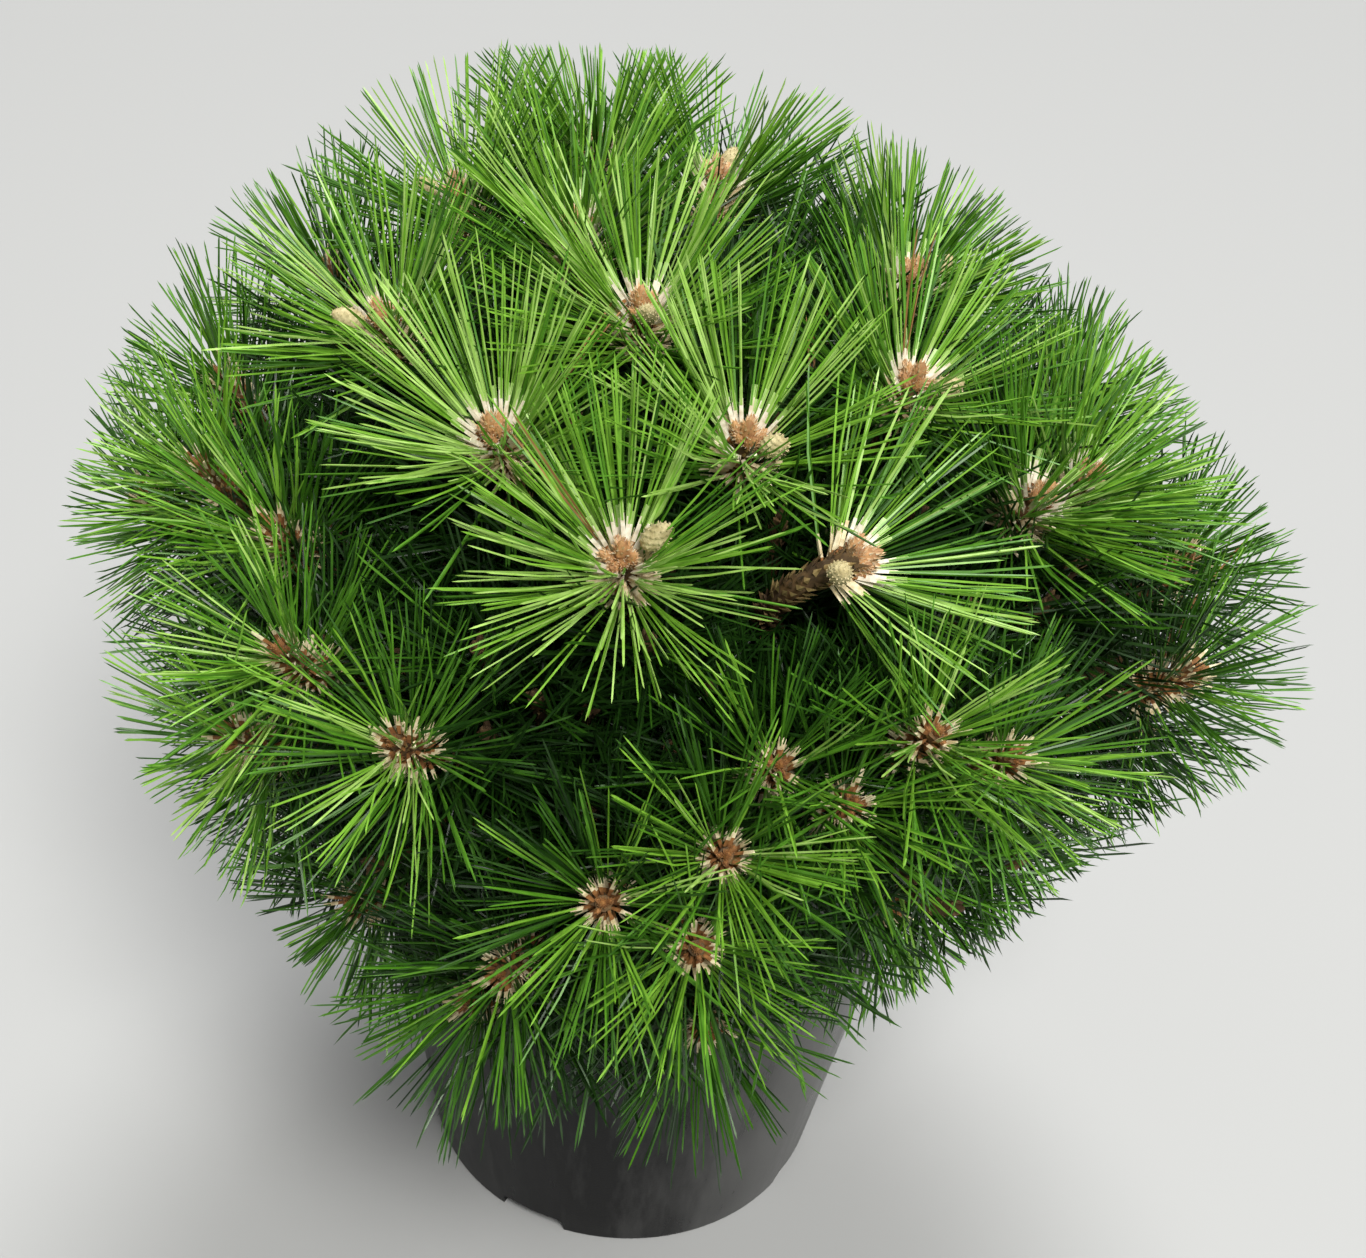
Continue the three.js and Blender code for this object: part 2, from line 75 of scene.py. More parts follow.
TRUNK_FLARE_HEIGHT = 16 * MM
TRUNK_TIP_RADIUS = 5.2 * MM
BOUGH_BASE_RADIUS = 5 * MM
BOUGH_TIP_RADIUS = 3.6 * MM
BOUGH_SEATS = (0.1, 0.96)
BOUGH_STAGGER = 0.035
BOUGH_SAGS = (0.25, 0.075)
CROWN_CENTRE = np.array([6, 0, 336]) * MM
CROWN_RADIUS = np.array([304, 296, 257]) * MM
CROWN_BLEND = 20
HEART = np.array([2, 0, 262]) * MM
BUD_SHELL = 0.8
MASS_SITE = 0.62
MASS_STEM = 0.12
MASS_FORK = 0.62
MASS_LAST_FORK = 0.8
MASS_FORK_STEP = 0.02
MASS_FORK_DEPTH = 8.4 * MM
SPACE_MARGIN = 4.2 * MM
BUD_RADIUS = 5 * MM
SHOOT_UPLIFT = 0.88
SHOOT_BEND = 0.5
LOW_SPACING = 62 * MM
TOP_SPACING = 66 * MM
DARTS = 40
MOST_PER_MASS = 4
LOWEST_TILT, HIGHEST_TILT = -22, 88
DART_NEAREST, DART_FARTHEST = 19, 34
DART_SHORTFALL = 0.1

# Each line is one leading shoot: azimuth, elevation, reach as a share of the bud shell, and the crown's edge
# there as a share of the ellipsoid.
LEADERS = [
    (-22, 74, 1.0, 1.0),
    (10, 59, 1.0, 1.0),
    (53, 62, 0.98, 0.98),
    (113, 64, 0.94, 0.9),
    (180, 68, 1.0, 0.99),
    (-115, 60, 1.05, 1.07),
    (-73, 55, 1.01, 1.02),
    (-33, 54, 1.0, 1.0),
    (-7, 45, 1.03, 1.03),
    (23, 45, 1.03, 1.03),
    (72, 41, 0.98, 0.96),
    (-72, 29, 1.04, 0.97),
    (-43, 23, 1.02, 1.0),
    (-27, 20, 1.0, 1.0),
    (-4, 8, 1.0, 1.02),
    (13, 23, 0.92, 0.95),
    (29, 26, 1.0, 0.95),
    (69, 16, 1.04, 1.01),
    (-60, -10, 0.84, 0.82),
    (52, -10, 0.74, 0.74),
    (101, 38, 0.92, 0.88),
    (146, 39, 0.98, 0.95),
    (-157, 36, 1.03, 1.03),
    (-113, 10, 0.95, 0.9),
    (115, 4, 0.93, 0.91),
    (160, 3, 0.95, 0.95),
    (-152, 0, 0.95, 0.95),
    (-113, 38, 1.03, 1.0),
]
# Side shoots that stand out beside a leading shoot: its line above, azimuth, elevation, reach.
SIDE_SHOOTS = [
    (11, -95, 28, 1.03),
    (11, -85, 15, 1.06),
    (11, -57, 31, 0.97),
    (12, -47, 10, 1.02),
    (14, 5, 3, 1.0),
    (14, -14, -8, 0.97),
    (14, 8, -20, 0.93),
    (14, -19, -20, 0.95),
    (15, 7, 15, 1.0),
    (15, 21, 18, 0.93),
    (16, 39, 20, 0.98),
    (17, 83, 22, 1.03),
    (18, -82, -6, 0.84),
    (18, -38, -17, 0.9),
    (19, 34, -13, 0.78),
    (19, 70, -8, 0.72),
    (10, 60, 44, 0.97),
    (21, 140, 18, 0.96),
    (0, -92, 76, 1.0),
    (5, -150, 64, 1.06),
]
# A leading shoot that lies over to one side: its line above, the azimuth that it leans to and how far.
LEAN_LINE, LEAN_AZIMUTH, LEAN_REACH = 9, 105, 2.4

# Finer growth, which only this script adds.
INNER_DARTS = 110
INNER_MOST = 9
INNER_SPACING = 28 * MM
INNER_REACH = (0.5, 0.9)
INNER_BUD_SPACING = 34 * MM
STEM_RADIUS = 3.4 * MM
TWIG_RADIUS = 2.7 * MM
TWIG_ROUGHNESS = 0.05
# Old needle bases: how far out they sit, their width and height by their length, their sizes and tan share.
PEG_SEAT = 0.82
PEG_WIDTH, PEG_HEIGHT = 0.52, 0.25
PEG_SIZES = (0.7, 1.3)
PEG_TAN_SHARE = 0.55
BARE_STEM_RADIUS = 4.8 * MM
BARE_STEM_START = 8 * MM
BARE_STEM_LENGTH = 66 * MM
# Weaker shoots whose needles hang before the pot: their line above, azimuth, elevation, reach.
SKIRT_SHOOTS = [
    (14, -6, -26, 0.86),
    (14, -4, -15, 0.9),
    (14, -25, -13, 0.88),
    (14, 17, -11, 0.86),
    (14, -12, -22, 0.9),
    (13, -34, -6, 0.88),
]

# Needles.
NEEDLE_WIDTH = 1.25 * MM
NEEDLE_THICKNESS = 0.75 * MM
NEEDLE_SHORTEST = 0.5
NEEDLE_OVERSHOOT = 1.0
SHEATH_RADIUS = 1.0 * MM
SHEATH_OVERLAP = 0.25
PAIR_GAP = 0.3
PAIR_SPLAY = (0.02, 0.065)
ANGLE_SPREAD = 6
TURN_SPREAD = 0.12
LENGTH_SPREAD = 0.06
SHEATH_SPREAD = (0.85, 1.15)
FORWARD_BEND = 0.05
BEND_SPREADS = (0.7, 0.45)
ROOT_TAPER = 14 * MM
CHECKED_SHARES = (0.4, 0.7, 1.0)
CLEAR_OVER_POT = 6 * MM
CLEAR_ROUND_POT = 10 * MM
PALE_BASE = 5 * MM
CREAM_SHARE = 0.3
DEAD_SHARE = 0.0015
TRIANGLES_PER_PIECE = 190_000
# The rings of a needle near a bud and of a farther one: how far along it each stands, and its width.
NEEDLE_RINGS = ((0.0, 0.8), (0.5, 1.0), (0.95, 0.75))
PLAIN_RINGS = ((0.0, 0.9), (0.9, 0.9))
# Needles hang on the lowest shoots and turn up on the highest.
DROOP_HEIGHTS = (0.24, 0.44)
DROOP_LIFTS = (-0.24, 0.18)
# Leading shoots that rise more steeply than this bear the longer, fresher needles.
UPPER_ELEVATION = 40
# Zones of needles: pairs, nearest and farthest distance back from the bud, first and last angle from the
# stem's axis, crowding towards the bud, and whether the sheaths still show.
TOP_ZONE = (126, 1 * MM, 26 * MM, 38, 80, 0.9, True)
LOW_ZONE = (96, 0 * MM, 32 * MM, 30, 88, 0.85, True)
LEANING_ZONE = (120, 1 * MM, 17 * MM, 40, 84, 0.9, True)
BARE_OLD_ZONE = (84, 64 * MM, 116 * MM, 66, 96, 1.0, False)
OLD_ZONE = (96, 30 * MM, 108 * MM, 66, 96, 1.0, False)
INNER_ZONE = (48, 2 * MM, 60 * MM, 45, 88, 1.0, False)
# How a shoot bears its needles: their breadth and length, how far their roots stand off the axis at the bud
# and farther back, the sheath's length and its brown share, the disorder, and whether it ends in cream.
UPPER_HABIT = (0.88, 64 * MM, 7.5 * MM, 4.5 * MM, 12 * MM, 0.12, 0.065, True)
LOWER_HABIT = (0.86, 57 * MM, 3.8 * MM, 2.6 * MM, 11 * MM, 0.5, 0.14, False)
INNER_HABIT = (1.08, 57 * MM, 3.8 * MM, 2.6 * MM, 11 * MM, 0.5, 0.14, False)

# The front side of the crown that the light falls on, where the needles are given painted light, and how
# bright they are made: anywhere, by height and there. The height share stands partly for fresher needles
# higher up and partly for painted light from above.
BRIGHT_SIDE = np.array([-0.17, -0.78, 0.6])
VIGOUR_BASE, VIGOUR_AND_LIGHT_BY_HEIGHT, PAINTED_LIGHT_BY_SIDE = 0.06, 0.45, 0.41
VIGOUR_FOOT, VIGOUR_RISE, VIGOUR_TOP = 0.27, 0.27, 0.85
PAINTED_LIGHT_FOCUS = 1.3
# Painted shade: the inner shoots' needles are darkened by this, for lying deep in the crown.
INNER_PAINTED_SHADE = 0.2
OLD_DIMMING = 0.25
# Needles take painted shade, a darker tone, where their middles lie deeper than this share of the way to the
# crown's edge.
FULL_LIGHT = 0.89
SHADE_SLOPE = 3.6
TONE_SPREAD = 0.16

# Needles keep clear of the buds and the room over them, of the leaning shoot's bare stem and the room before
# it, and of the lines of sight over the leading shoots whose bud clusters show in the photograph.
BUD_CLEARANCE = 9 * MM
BUD_ROOM = (0, 14 * MM, 28 * MM)
OPEN_DEPTHS = (0, 15 * MM, 30 * MM, 45 * MM)
SIGHT_DEPTHS = (20 * MM, 34 * MM, 48 * MM, 62 * MM, 76 * MM)
SHOWN_LINES = range(9)
# The leaning shoot bears no needles on the side of its stem that faces the bright side by more than this.
OPEN_FRONT = 0.1

# Buds: the shape's half widths by height, its scales, and the finishes of its body, scales and fringes.
BUD_HEIGHTS = (0.0, 0.18, 0.45, 0.7, 0.88, 1.0)
BUD_WIDTHS = (0.17, 0.25, 0.26, 0.2, 0.11, 0.015)
BUD_SIDES = 7
BUD_SCALES = 34
UPPER_BUDS = ("bud_body", "bud_scale", "bud_fringe")
LOWER_BUDS = ("sheath_brown", "bud_body")
# Inner buds take the dark stem brown as painted shade, for lying deep in the crown.
INNER_BUDS = ("stem_brown",)

# Young cones by line: their turn about the shoot, their foot's distance back from the bud, and their lean.
CONELET_PLACES = {
    0: (128, 1 * MM, 0.9),
    1: (135, 1 * MM, 0.9),
    2: (100, 1 * MM, 0.9),
    3: (100, 1 * MM, 0.8),
    4: (65, 1 * MM, 0.9),
    5: (125, 1 * MM, 0.9),
    6: (95, 1 * MM, 0.9),
    8: (205, -2 * MM, 1.0),
    9: (-20, 9 * MM, 2.2),
}
CONELET_APART = 8 * MM
CONELET_MIDDLE = 8 * MM
CONELET_LENGTHS = (13.5, 16)
CONELET_RINGS, CONELET_SIDES, CONELET_KNOBS = 26, 30, 80
KNOB_SPREAD = 0.0011

# Bark ridges: how many round the limb, their waves along it, and their depth as a share of its radius.
BARK_RIDGES = ((3, 40, 0.05), (5, 95, 0.05), (8, 170, 0.045), (13, 300, 0.035))
CRACK_DEPTH = 0.06
CRACK_SHARE = 0.25

# The pot's finish.
POT_SIDES = 144
FOOT_ROUND = 2.5 * MM
LIP_ROUND = 1.6 * MM
EDGE_ROUND = 0.8 * MM
SHARP_ANGLE = 38
OPENINGS = 4
NOTCH_AZIMUTH = -23
NOTCH_HALF_WIDTH = 18.5 * MM
NOTCH_HEIGHT = 10 * MM
NOTCH_DEPTH = 14 * MM
NOTCH_SHOULDER = 5 * MM
HOLE_AZIMUTH = 22
HOLE_REACH = 62 * MM
HOLE_RADIUS = 7 * MM
HOLE_DEPTH = 20 * MM

# The soil's finish. Lumps: depth, waves along x and y, and their offsets.
SOIL_SIDES = 120
SOIL_GAP = 0.3 * MM
SOIL_GRAIN = 0.35 * MM
SOIL_LUMPS = (
    (1.2 * MM, 190, 230, 0, 1),
    (0.9 * MM, 420, 380, 2, 0),
    (0.6 * MM, 800, 910, 1, 3),
)
CHIP_COUNT = 900
CHIP_MARGIN = 6 * MM
CHIP_LIFT = 0.4 * MM
CHIP_TILT = 0.35
CHIP_SIZES = ((2, 6), (1.2, 3), (0.5, 1.4))
CHIP_OUTLINE = ((-1, -0.5), (-0.3, -1), (0.8, -0.8), (1, 0.2), (0.4, 1), (-0.7, 0.7))

# Camera: the photograph's angle, height and lens.
CAMERA_PLACE = (0.010, -0.856, 0.951)
CAMERA_PITCH = 36.0
CAMERA_ROLL = 5.38
SENSOR = 36.0
LENS = 57.64

# Stage. Lights: place, target, diameter, watts and colour.
FLOOR_COLOUR = (0.36, 0.363, 0.357)
FLOOR_HALF_WIDTH = 8.0
STUDIO_COLOUR = (0.99, 0.99, 1.0, 1)
STUDIO_STRENGTH = 0.34
WHITE = (1.0, 1.0, 1.0)
LIGHTS = {
    "key": ((1.5, -4.5, 6.4), (0, 0, 0.35), 2.6, 780, (1.0, 0.99, 0.97)),
    "fill": ((5.6, -2.4, 2.2), (0, 0, 0.2), 2.6, 14, WHITE),
    "top": ((0.4, 4.2, 8.6), (0, 0, 0.3), 4.2, 800, WHITE),
}

# Needle colours: the least tone that takes each one, and the two greens that it wanders between. The tone
# carries painted light and shade, so the lighter greens stand for painted light on the lit top and front, and
# needle_deep and needle_shade for painted shade deep in the crown.
GREENS = {
    "needle_light": (0.76, (0.23, 0.42, 0.055), (0.38, 0.58, 0.15)),
    "needle_fresh": (0.55, (0.115, 0.28, 0.014), (0.20, 0.42, 0.04)),
    "needle_mid": (0.34, (0.05, 0.165, 0.006), (0.092, 0.255, 0.018)),
    "needle_deep": (0.08, (0.017, 0.072, 0.002), (0.038, 0.125, 0.007)),
    "needle_shade": (-math.inf, (0.004, 0.022, 0.001), (0.012, 0.045, 0.003)),
}
# The plant's other finishes: the two tones that each wanders between, how fine its patches are and its
# roughness. Some have relief too: its strength, how fine it is and how detailed the patches are.
FINISHES = {
    "needle_dead": ((0.24, 0.11, 0.035), (0.4, 0.21, 0.08), 90, 0.6),
    "needle_base": ((0.27, 0.44, 0.1), (0.42, 0.58, 0.2), 120, 0.45),
    "sheath_cream": ((0.58, 0.5, 0.35), (0.84, 0.79, 0.66), 300, 0.7),
    "sheath_tan": ((0.56, 0.44, 0.23), (0.9, 0.8, 0.54), 300, 0.7),
    "sheath_brown": ((0.17, 0.065, 0.018), (0.38, 0.17, 0.05), 300, 0.75),
    "bud_body": ((0.28, 0.14, 0.06), (0.48, 0.26, 0.105), 220, 0.6),
    "bud_scale": ((0.54, 0.33, 0.17), (0.8, 0.57, 0.33), 220, 0.6),
    "bud_fringe": ((0.68, 0.58, 0.4), (0.92, 0.86, 0.68), 260, 0.5),
    "conelet": ((0.33, 0.27, 0.12), (0.54, 0.46, 0.25), 240, 0.8, 0.5, 900, 4),
    "conelet_point": ((0.42, 0.34, 0.17), (0.62, 0.53, 0.31), 240, 0.8),
    "stem_tan": ((0.22, 0.14, 0.045), (0.46, 0.33, 0.13), 200, 0.8),
    "stem_brown": ((0.06, 0.034, 0.012), (0.15, 0.085, 0.03), 160, 0.85),
    "bark": ((0.055, 0.032, 0.02), (0.2, 0.125, 0.075), 130, 0.9, 0.8, 420, 9),
}
SOIL_FINISHES = {
    "soil": ((0.012, 0.008, 0.005), (0.06, 0.035, 0.02), 110, 1.0, 1.0, 300, 4),
    "soil_chip": ((0.04, 0.02, 0.01), (0.17, 0.09, 0.045), 60, 0.95),
}

rng = np.random.default_rng(SEED)


def unit(vectors):
    """Vectors scaled to length 1 along their last axis."""
    vectors = np.asarray(vectors, float)
    return vectors / np.linalg.norm(vectors, axis=-1, keepdims=True)


def mix(first, last, share):
    """A value or vector between two others."""
    return first + (last - first) * share


# The skeleton, by the same rule as the solids.


def random_source(seed):
    """Seeded random numbers from 0 to 1, the same as the solids' own."""
    state = seed
    while True:
        state = (1664525 * state + 1013904223) & 0xFFFFFFFF
        yield state / 2**32


def crown_direction(azimuth, elevation):
    a, e = math.radians(azimuth), math.radians(elevation)
    return np.array([math.sin(a) * math.cos(e), -math.cos(a) * math.cos(e), math.sin(e)])


DIRECTIONS = np.array([crown_direction(azimuth, elevation) for azimuth, elevation, _, _ in LEADERS])
EDGES = np.array([edge for _, _, _, edge in LEADERS])
SITES = CROWN_CENTRE + MASS_SITE * CROWN_RADIUS * DIRECTIONS


def share_of_edge(points):
    """How far out points lie: 1 on the crown's edge, which is blended from the leaders by direction."""
    places = (points - CROWN_CENTRE) / CROWN_RADIUS
    shares = np.linalg.norm(places, axis=-1)
    weights = np.exp(CROWN_BLEND * (places @ DIRECTIONS.T) / shares[:, None])
    return shares * weights.sum(axis=1) / (weights @ EDGES)


def bud_point(place):
    """A bud's place from its azimuth, elevation and reach."""
    azimuth, elevation, reach = place[:3]
    return CROWN_CENTRE + BUD_SHELL * reach * CROWN_RADIUS * crown_direction(azimuth, elevation)


def depth_in_space(point, i):
    """How far a point lies inside mass i's space, from the nearest plane halfway to another site."""
    others = np.delete(SITES, i, axis=0)
    towards = others - SITES[i]
    middle = (others + SITES[i]) / 2
    return np.min(np.sum((middle - point) * towards, axis=1) / np.linalg.norm(towards, axis=1))


def is_clear(bud, buds, spacing):
    return all(np.linalg.norm(other - bud) > spacing for group in buds for other in group)


def swung(azimuth, elevation, away, bearing):
    """A direction's azimuth and elevation once it is swung away by an angle, at a bearing in radians."""
    turn = away * math.cos(bearing) / math.cos(math.radians(elevation))
    return azimuth + turn, elevation + away * math.sin(bearing)


def grow_buds():
    """The buds of each mass: its leading shoot's, the side shoots' and the seeded darts'."""
    buds = [[bud_point(leader)] for leader in LEADERS]
    for i, *place in SIDE_SHOOTS:
        buds[i].append(bud_point(place))
    random = random_source(SEED)
    for i, (azimuth, elevation, reach, _) in enumerate(LEADERS):
        for _ in range(DARTS):
            bearing = FULL_TURN * next(random)
            away = mix(DART_NEAREST, DART_FARTHEST, next(random))
            place = reach - DART_SHORTFALL * next(random)
            turn, tilt = swung(azimuth, elevation, away, bearing)
            if not LOWEST_TILT <= tilt <= HIGHEST_TILT or len(buds[i]) >= MOST_PER_MASS:
                continue
            bud = bud_point((turn, tilt, place))
            spacing = mix(LOW_SPACING, TOP_SPACING, max(0, math.sin(math.radians(tilt))))
            if is_clear(bud, buds, spacing) and depth_in_space(bud, i) > BUD_RADIUS + SPACE_MARGIN:
                buds[i].append(bud)
    return buds


def bare_points(buds):
    """Places along the leaning shoot's bare stem and in the open room before it."""
    fork = path_share(buds, LEAN_LINE, fork_share(buds, LEAN_LINE))
    curve = shoot_curve(fork, buds[LEAN_LINE][0], lean_of(LEAN_LINE, 0))
    stem = curve.points(curve.share_at(curve.length - np.linspace(BARE_STEM_START, BARE_STEM_LENGTH, 8)))
    return np.concatenate([stem + depth * BRIGHT_SIDE for depth in OPEN_DEPTHS])


def grow_inner_buds(buds, bare):
    """Weaker shoots deeper in the crown, in the room that the outer ones and the bare stem leave."""
    inner = [[] for _ in LEADERS]
    for i, (azimuth, elevation, *_) in enumerate(LEADERS):
        for bearing, away, reach in rng.random((INNER_DARTS, 3)):
            turn, tilt = swung(azimuth, elevation, DART_FARTHEST * away, FULL_TURN * bearing)
            if not LOWEST_TILT <= tilt <= HIGHEST_TILT or len(inner[i]) >= INNER_MOST:
                continue
            bud = bud_point((turn, tilt, mix(*INNER_REACH, reach)))
            is_free = is_clear(bud, inner, INNER_SPACING) and is_clear(bud, [*buds, bare], INNER_BUD_SPACING)
            if is_free and depth_in_space(bud, i) > 0:
                inner[i].append(bud)
    return inner


def path_share(buds, i, share):
    return mix(HEART, buds[i][0], share)


def fork_share(buds, i):
    share = MASS_FORK
    while share < MASS_LAST_FORK and depth_in_space(path_share(buds, i, share), i) < MASS_FORK_DEPTH:
        share += MASS_FORK_STEP
    return share


class Curve:
    """A quadratic curve from start to end that bends towards a third point, measured along its length."""

    SAMPLES = 64

    def __init__(self, start, bend, end):
        self.start, self.bend, self.end = start, bend, end
        self.shares = np.linspace(0, 1, self.SAMPLES + 1)
        steps = np.linalg.norm(np.diff(self.points(self.shares), axis=0), axis=1)
        self.lengths = np.concatenate([[0], np.cumsum(steps)])
        self.length = self.lengths[-1]

    def points(self, shares):
        s = np.atleast_1d(shares)[:, None]
        return (1 - s) ** 2 * self.start + 2 * (1 - s) * s * self.bend + s**2 * self.end

    def tangents(self, shares):
        s = np.atleast_1d(shares)[:, None]
        return unit((1 - s) * (self.bend - self.start) + s * (self.end - self.bend))

    def share_at(self, distance):
        """The share of the curve at a distance along it."""
        return np.interp(distance, self.lengths, self.shares)


def bough_curve(trunk, buds, i):
    elevations = [elevation for _, elevation, *_ in LEADERS]
    rank = (elevations[i] - min(elevations)) / (max(elevations) - min(elevations))
    stagger = BOUGH_STAGGER * ((3 * i) % 5 - 2) * (1 - rank)
    start = trunk.points(mix(*BOUGH_SEATS, rank) + stagger)[0]
    end = path_share(buds, i, fork_share(buds, i) - MASS_STEM)
    bend = (start + end) / 2
    bend[2] -= mix(*BOUGH_SAGS, rank) * math.hypot(*(end - start)[:2])
    bend[2] = max(bend[2], POT_HEIGHT + 2 * BOUGH_BASE_RADIUS, start[2])
    return Curve(start, bend, end)


def lean_of(i, n):
    """The leaning shoot's pull to its side, and no pull for any other shoot."""
    azimuth = math.radians(LEAN_AZIMUTH)
    reach = LEAN_REACH if i == LEAN_LINE and n == 0 else 0
    return reach * np.array([math.sin(azimuth), -math.cos(azimuth), 0])


def facing_of(bud, lean):
    """The way a shoot's bud faces: outwards, up towards the light and to the side that it leans to."""
    return unit(unit(bud - CROWN_CENTRE) + SHOOT_UPLIFT * UP + lean)


def shoot_curve(fork, bud, lean=0):
    """A shoot's path from the fork to its bud."""
    return Curve(fork, bud - SHOOT_BEND * np.linalg.norm(fork - bud) * facing_of(bud, lean), bud)


# Objects and shapes. A shape is its vertices and its triangles.


def add_object(name, data):
    """A new object in the scene."""
    made = bpy.data.objects.new(name, data)
    bpy.context.scene.collection.objects.link(made)
    return made


def add_mesh(name, vertices, faces):
    """A new object with a mesh of its own."""
    mesh = bpy.data.meshes.new(name)
    mesh.from_pydata(vertices, [], faces)
    return add_object(name, mesh)


def piece(name, vertices, triangles, material, slot, smooth=False):
    """An object of the plant, which rides on the one body."""
    made = add_mesh(name, vertices.astype(np.float32), triangles.astype(np.int32))
    made.data.validate()
    if smooth:
        made.data.shade_smooth()
    made.data.materials.append(material)
    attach(made, "root")
    return made


def joined(shapes):
    """Several shapes as one."""
    vertices, triangles = zip(*shapes)
    starts = np.cumsum([0, *map(len, vertices[:-1])])
    return np.concatenate(vertices), np.concatenate([t + start for t, start in zip(triangles, starts)])


def pieces_of(shapes, name, material, slot, smooth):
    """The shapes as pieces that each stay under the triangle limit."""
    groups, size = [[]], 0
    for shape in shapes:
        if size + len(shape[1]) > TRIANGLES_PER_PIECE:
            groups.append([])
            size = 0
        groups[-1].append(shape)
        size += len(shape[1])
    return [
        piece(f"{name}_{n + 1}", *joined(group), material, slot, smooth) for n, group in enumerate(groups)
    ]


def walls(sides, rings):
    """Triangles between each ring of vertices and the next."""
    k = np.arange(sides)
    after = (k + 1) % sides
    triangles = []
    for low in sides * np.arange(rings - 1):
        a, b = low + k, low + after
        triangles += [np.stack([a, b, b + sides], axis=1), np.stack([a, b + sides, a + sides], axis=1)]
    return triangles


def closed_tube(sides, rings):
    """A tube's triangles, with one vertex more at its foot and one at its tip, after those of the rings."""
    k = np.arange(sides)
    after = (k + 1) % sides
    last = (rings - 1) * sides
    foot = np.full(sides, rings * sides)
    foot_fan = np.stack([foot, after, k], axis=1)
    tip_fan = np.stack([last + k, last + after, foot + 1], axis=1)
    return np.concatenate([foot_fan, *walls(sides, rings), tip_fan])


def repeated(pattern, vertex_count, count):
    """A small shape's triangles for each of its copies, whose vertices follow one another."""
    offsets = vertex_count * np.arange(count)
    return (np.asarray(pattern)[None] + offsets[:, None, None]).reshape(-1, 3)


def any_across(directions):
    """A vector across each direction."""
    helper = np.where(np.abs(directions[:, 2:]) < NEAR_UPRIGHT, UP, SIDEWAYS)
    return unit(np.cross(directions, helper))


def angles_round(sides):
    return FULL_TURN * np.arange(sides) / sides


def level_circle(turns):
    """Level directions at some turns about +Z."""
    return np.stack([np.cos(turns), np.sin(turns), 0 * turns], axis=1)


def frames_along(tangents):
    """Two vectors across each tangent that turn with it and never twist."""
    side = np.cross(tangents[0], UP if abs(tangents[0][2]) < NEAR_UPRIGHT else SIDEWAYS)
    sides = []
    for tangent in tangents:
        side = unit(side - tangent * np.dot(side, tangent))
        sides.append(side)
    sides = np.array(sides)
    return sides, np.cross(tangents, sides)


def tube(centres, tangents, radii):
    """A closed tube. radii has a row for each ring and a column for each side."""
    rings, sides = radii.shape
    across, over = frames_along(tangents)
    angles = angles_round(sides)
    spokes = across[:, None] * np.cos(angles)[None, :, None] + over[:, None] * np.sin(angles)[None, :, None]
    vertices = (centres[:, None] + spokes * radii[:, :, None]).reshape(-1, 3)
    return np.concatenate([vertices, centres[:1], centres[-1:]]), closed_tube(sides, rings)


def upright_tube(heights, radii):
    """A closed tube one unit long along +Z."""
    return tube(heights[:, None] * UP, np.tile(UP, (len(heights), 1)), radii)


def stamp(vertices, triangles, origins, frames):
    """Copies of a small shape, one at each origin, with its own axes in the columns of its frame."""
    placed = np.einsum("nij,vj->nvi", frames, vertices) + origins[:, None]
    return placed.reshape(-1, 3), repeated(triangles, len(vertices), len(origins))


def needles(roots, directions, ridges, bends, lengths, breadth, ring_shares):
    """Long slim needles with a flat inner face and a ridged back, one for each root."""
    across = np.cross(directions, ridges)
    rings = []
    for share, width in ring_shares:
        centres = roots + lengths[:, None] * (share * directions + share**2 * bends)
        half = across * (breadth * NEEDLE_WIDTH / 2 * width)
        rings += [centres - half, centres + ridges * breadth * NEEDLE_THICKNESS * width, centres + half]
    vertices = np.stack([*rings, roots + lengths[:, None] * (directions + bends)], axis=1)
    last = len(rings) - 3
    tip_fan = [(last, last + 1, last + 3), (last + 1, last + 2, last + 3), (last + 2, last, last + 3)]
    pattern = np.concatenate([[(0, 2, 1)], *walls(3, len(ring_shares)), tip_fan])
    return vertices.reshape(-1, 3), repeated(pattern, vertices.shape[1], len(roots))


def prisms(starts, ends, radii_start, radii_end):
    """Three-sided slim prisms from starts to ends."""
    directions = unit(ends - starts)
    across = any_across(directions)
    over = np.cross(directions, across)
    vertices = np.stack(
        [
            centres + radius * (across * math.cos(angle) + over * math.sin(angle))
            for centres, radius in ((starts, radii_start), (ends, radii_end))
            for angle in angles_round(3)
        ],
        axis=1,
    )
    pattern = np.concatenate([[(0, 2, 1), (3, 4, 5)], *walls(3, 2)])
    return vertices.reshape(-1, 3), repeated(pattern, 6, len(starts))


def flakes(roots, directions, normals, length, width, height, lift):
    """Small pointed scales with a raised middle, each lying along a direction on a surface."""
    half = unit(np.cross(directions, normals)) * width / 2
    tips = roots + directions * length + normals * lift
    vertices = np.stack([roots - half, roots + half, roots + normals * height, tips], axis=1)
    pattern = [(0, 2, 1), (0, 1, 3), (1, 2, 3), (2, 0, 3)]
    return vertices.reshape(-1, 3), repeated(pattern, 4, len(roots))


# Materials.


def feed(tree, node, **inputs):
    """Gives a node's inputs plain values or other nodes' outputs. In their names _ stands for a space."""
    for name, value in inputs.items():
        socket = node.inputs[name.replace("_", " ")]
        if isinstance(value, bpy.types.NodeSocket):
            tree.links.new(value, socket)
        else:
            socket.default_value = value


def add_node(tree, kind, **inputs):
    """A shader node with some of its inputs fed."""
    made = tree.nodes.new(f"ShaderNode{kind}")
    feed(tree, made, **inputs)
    return made


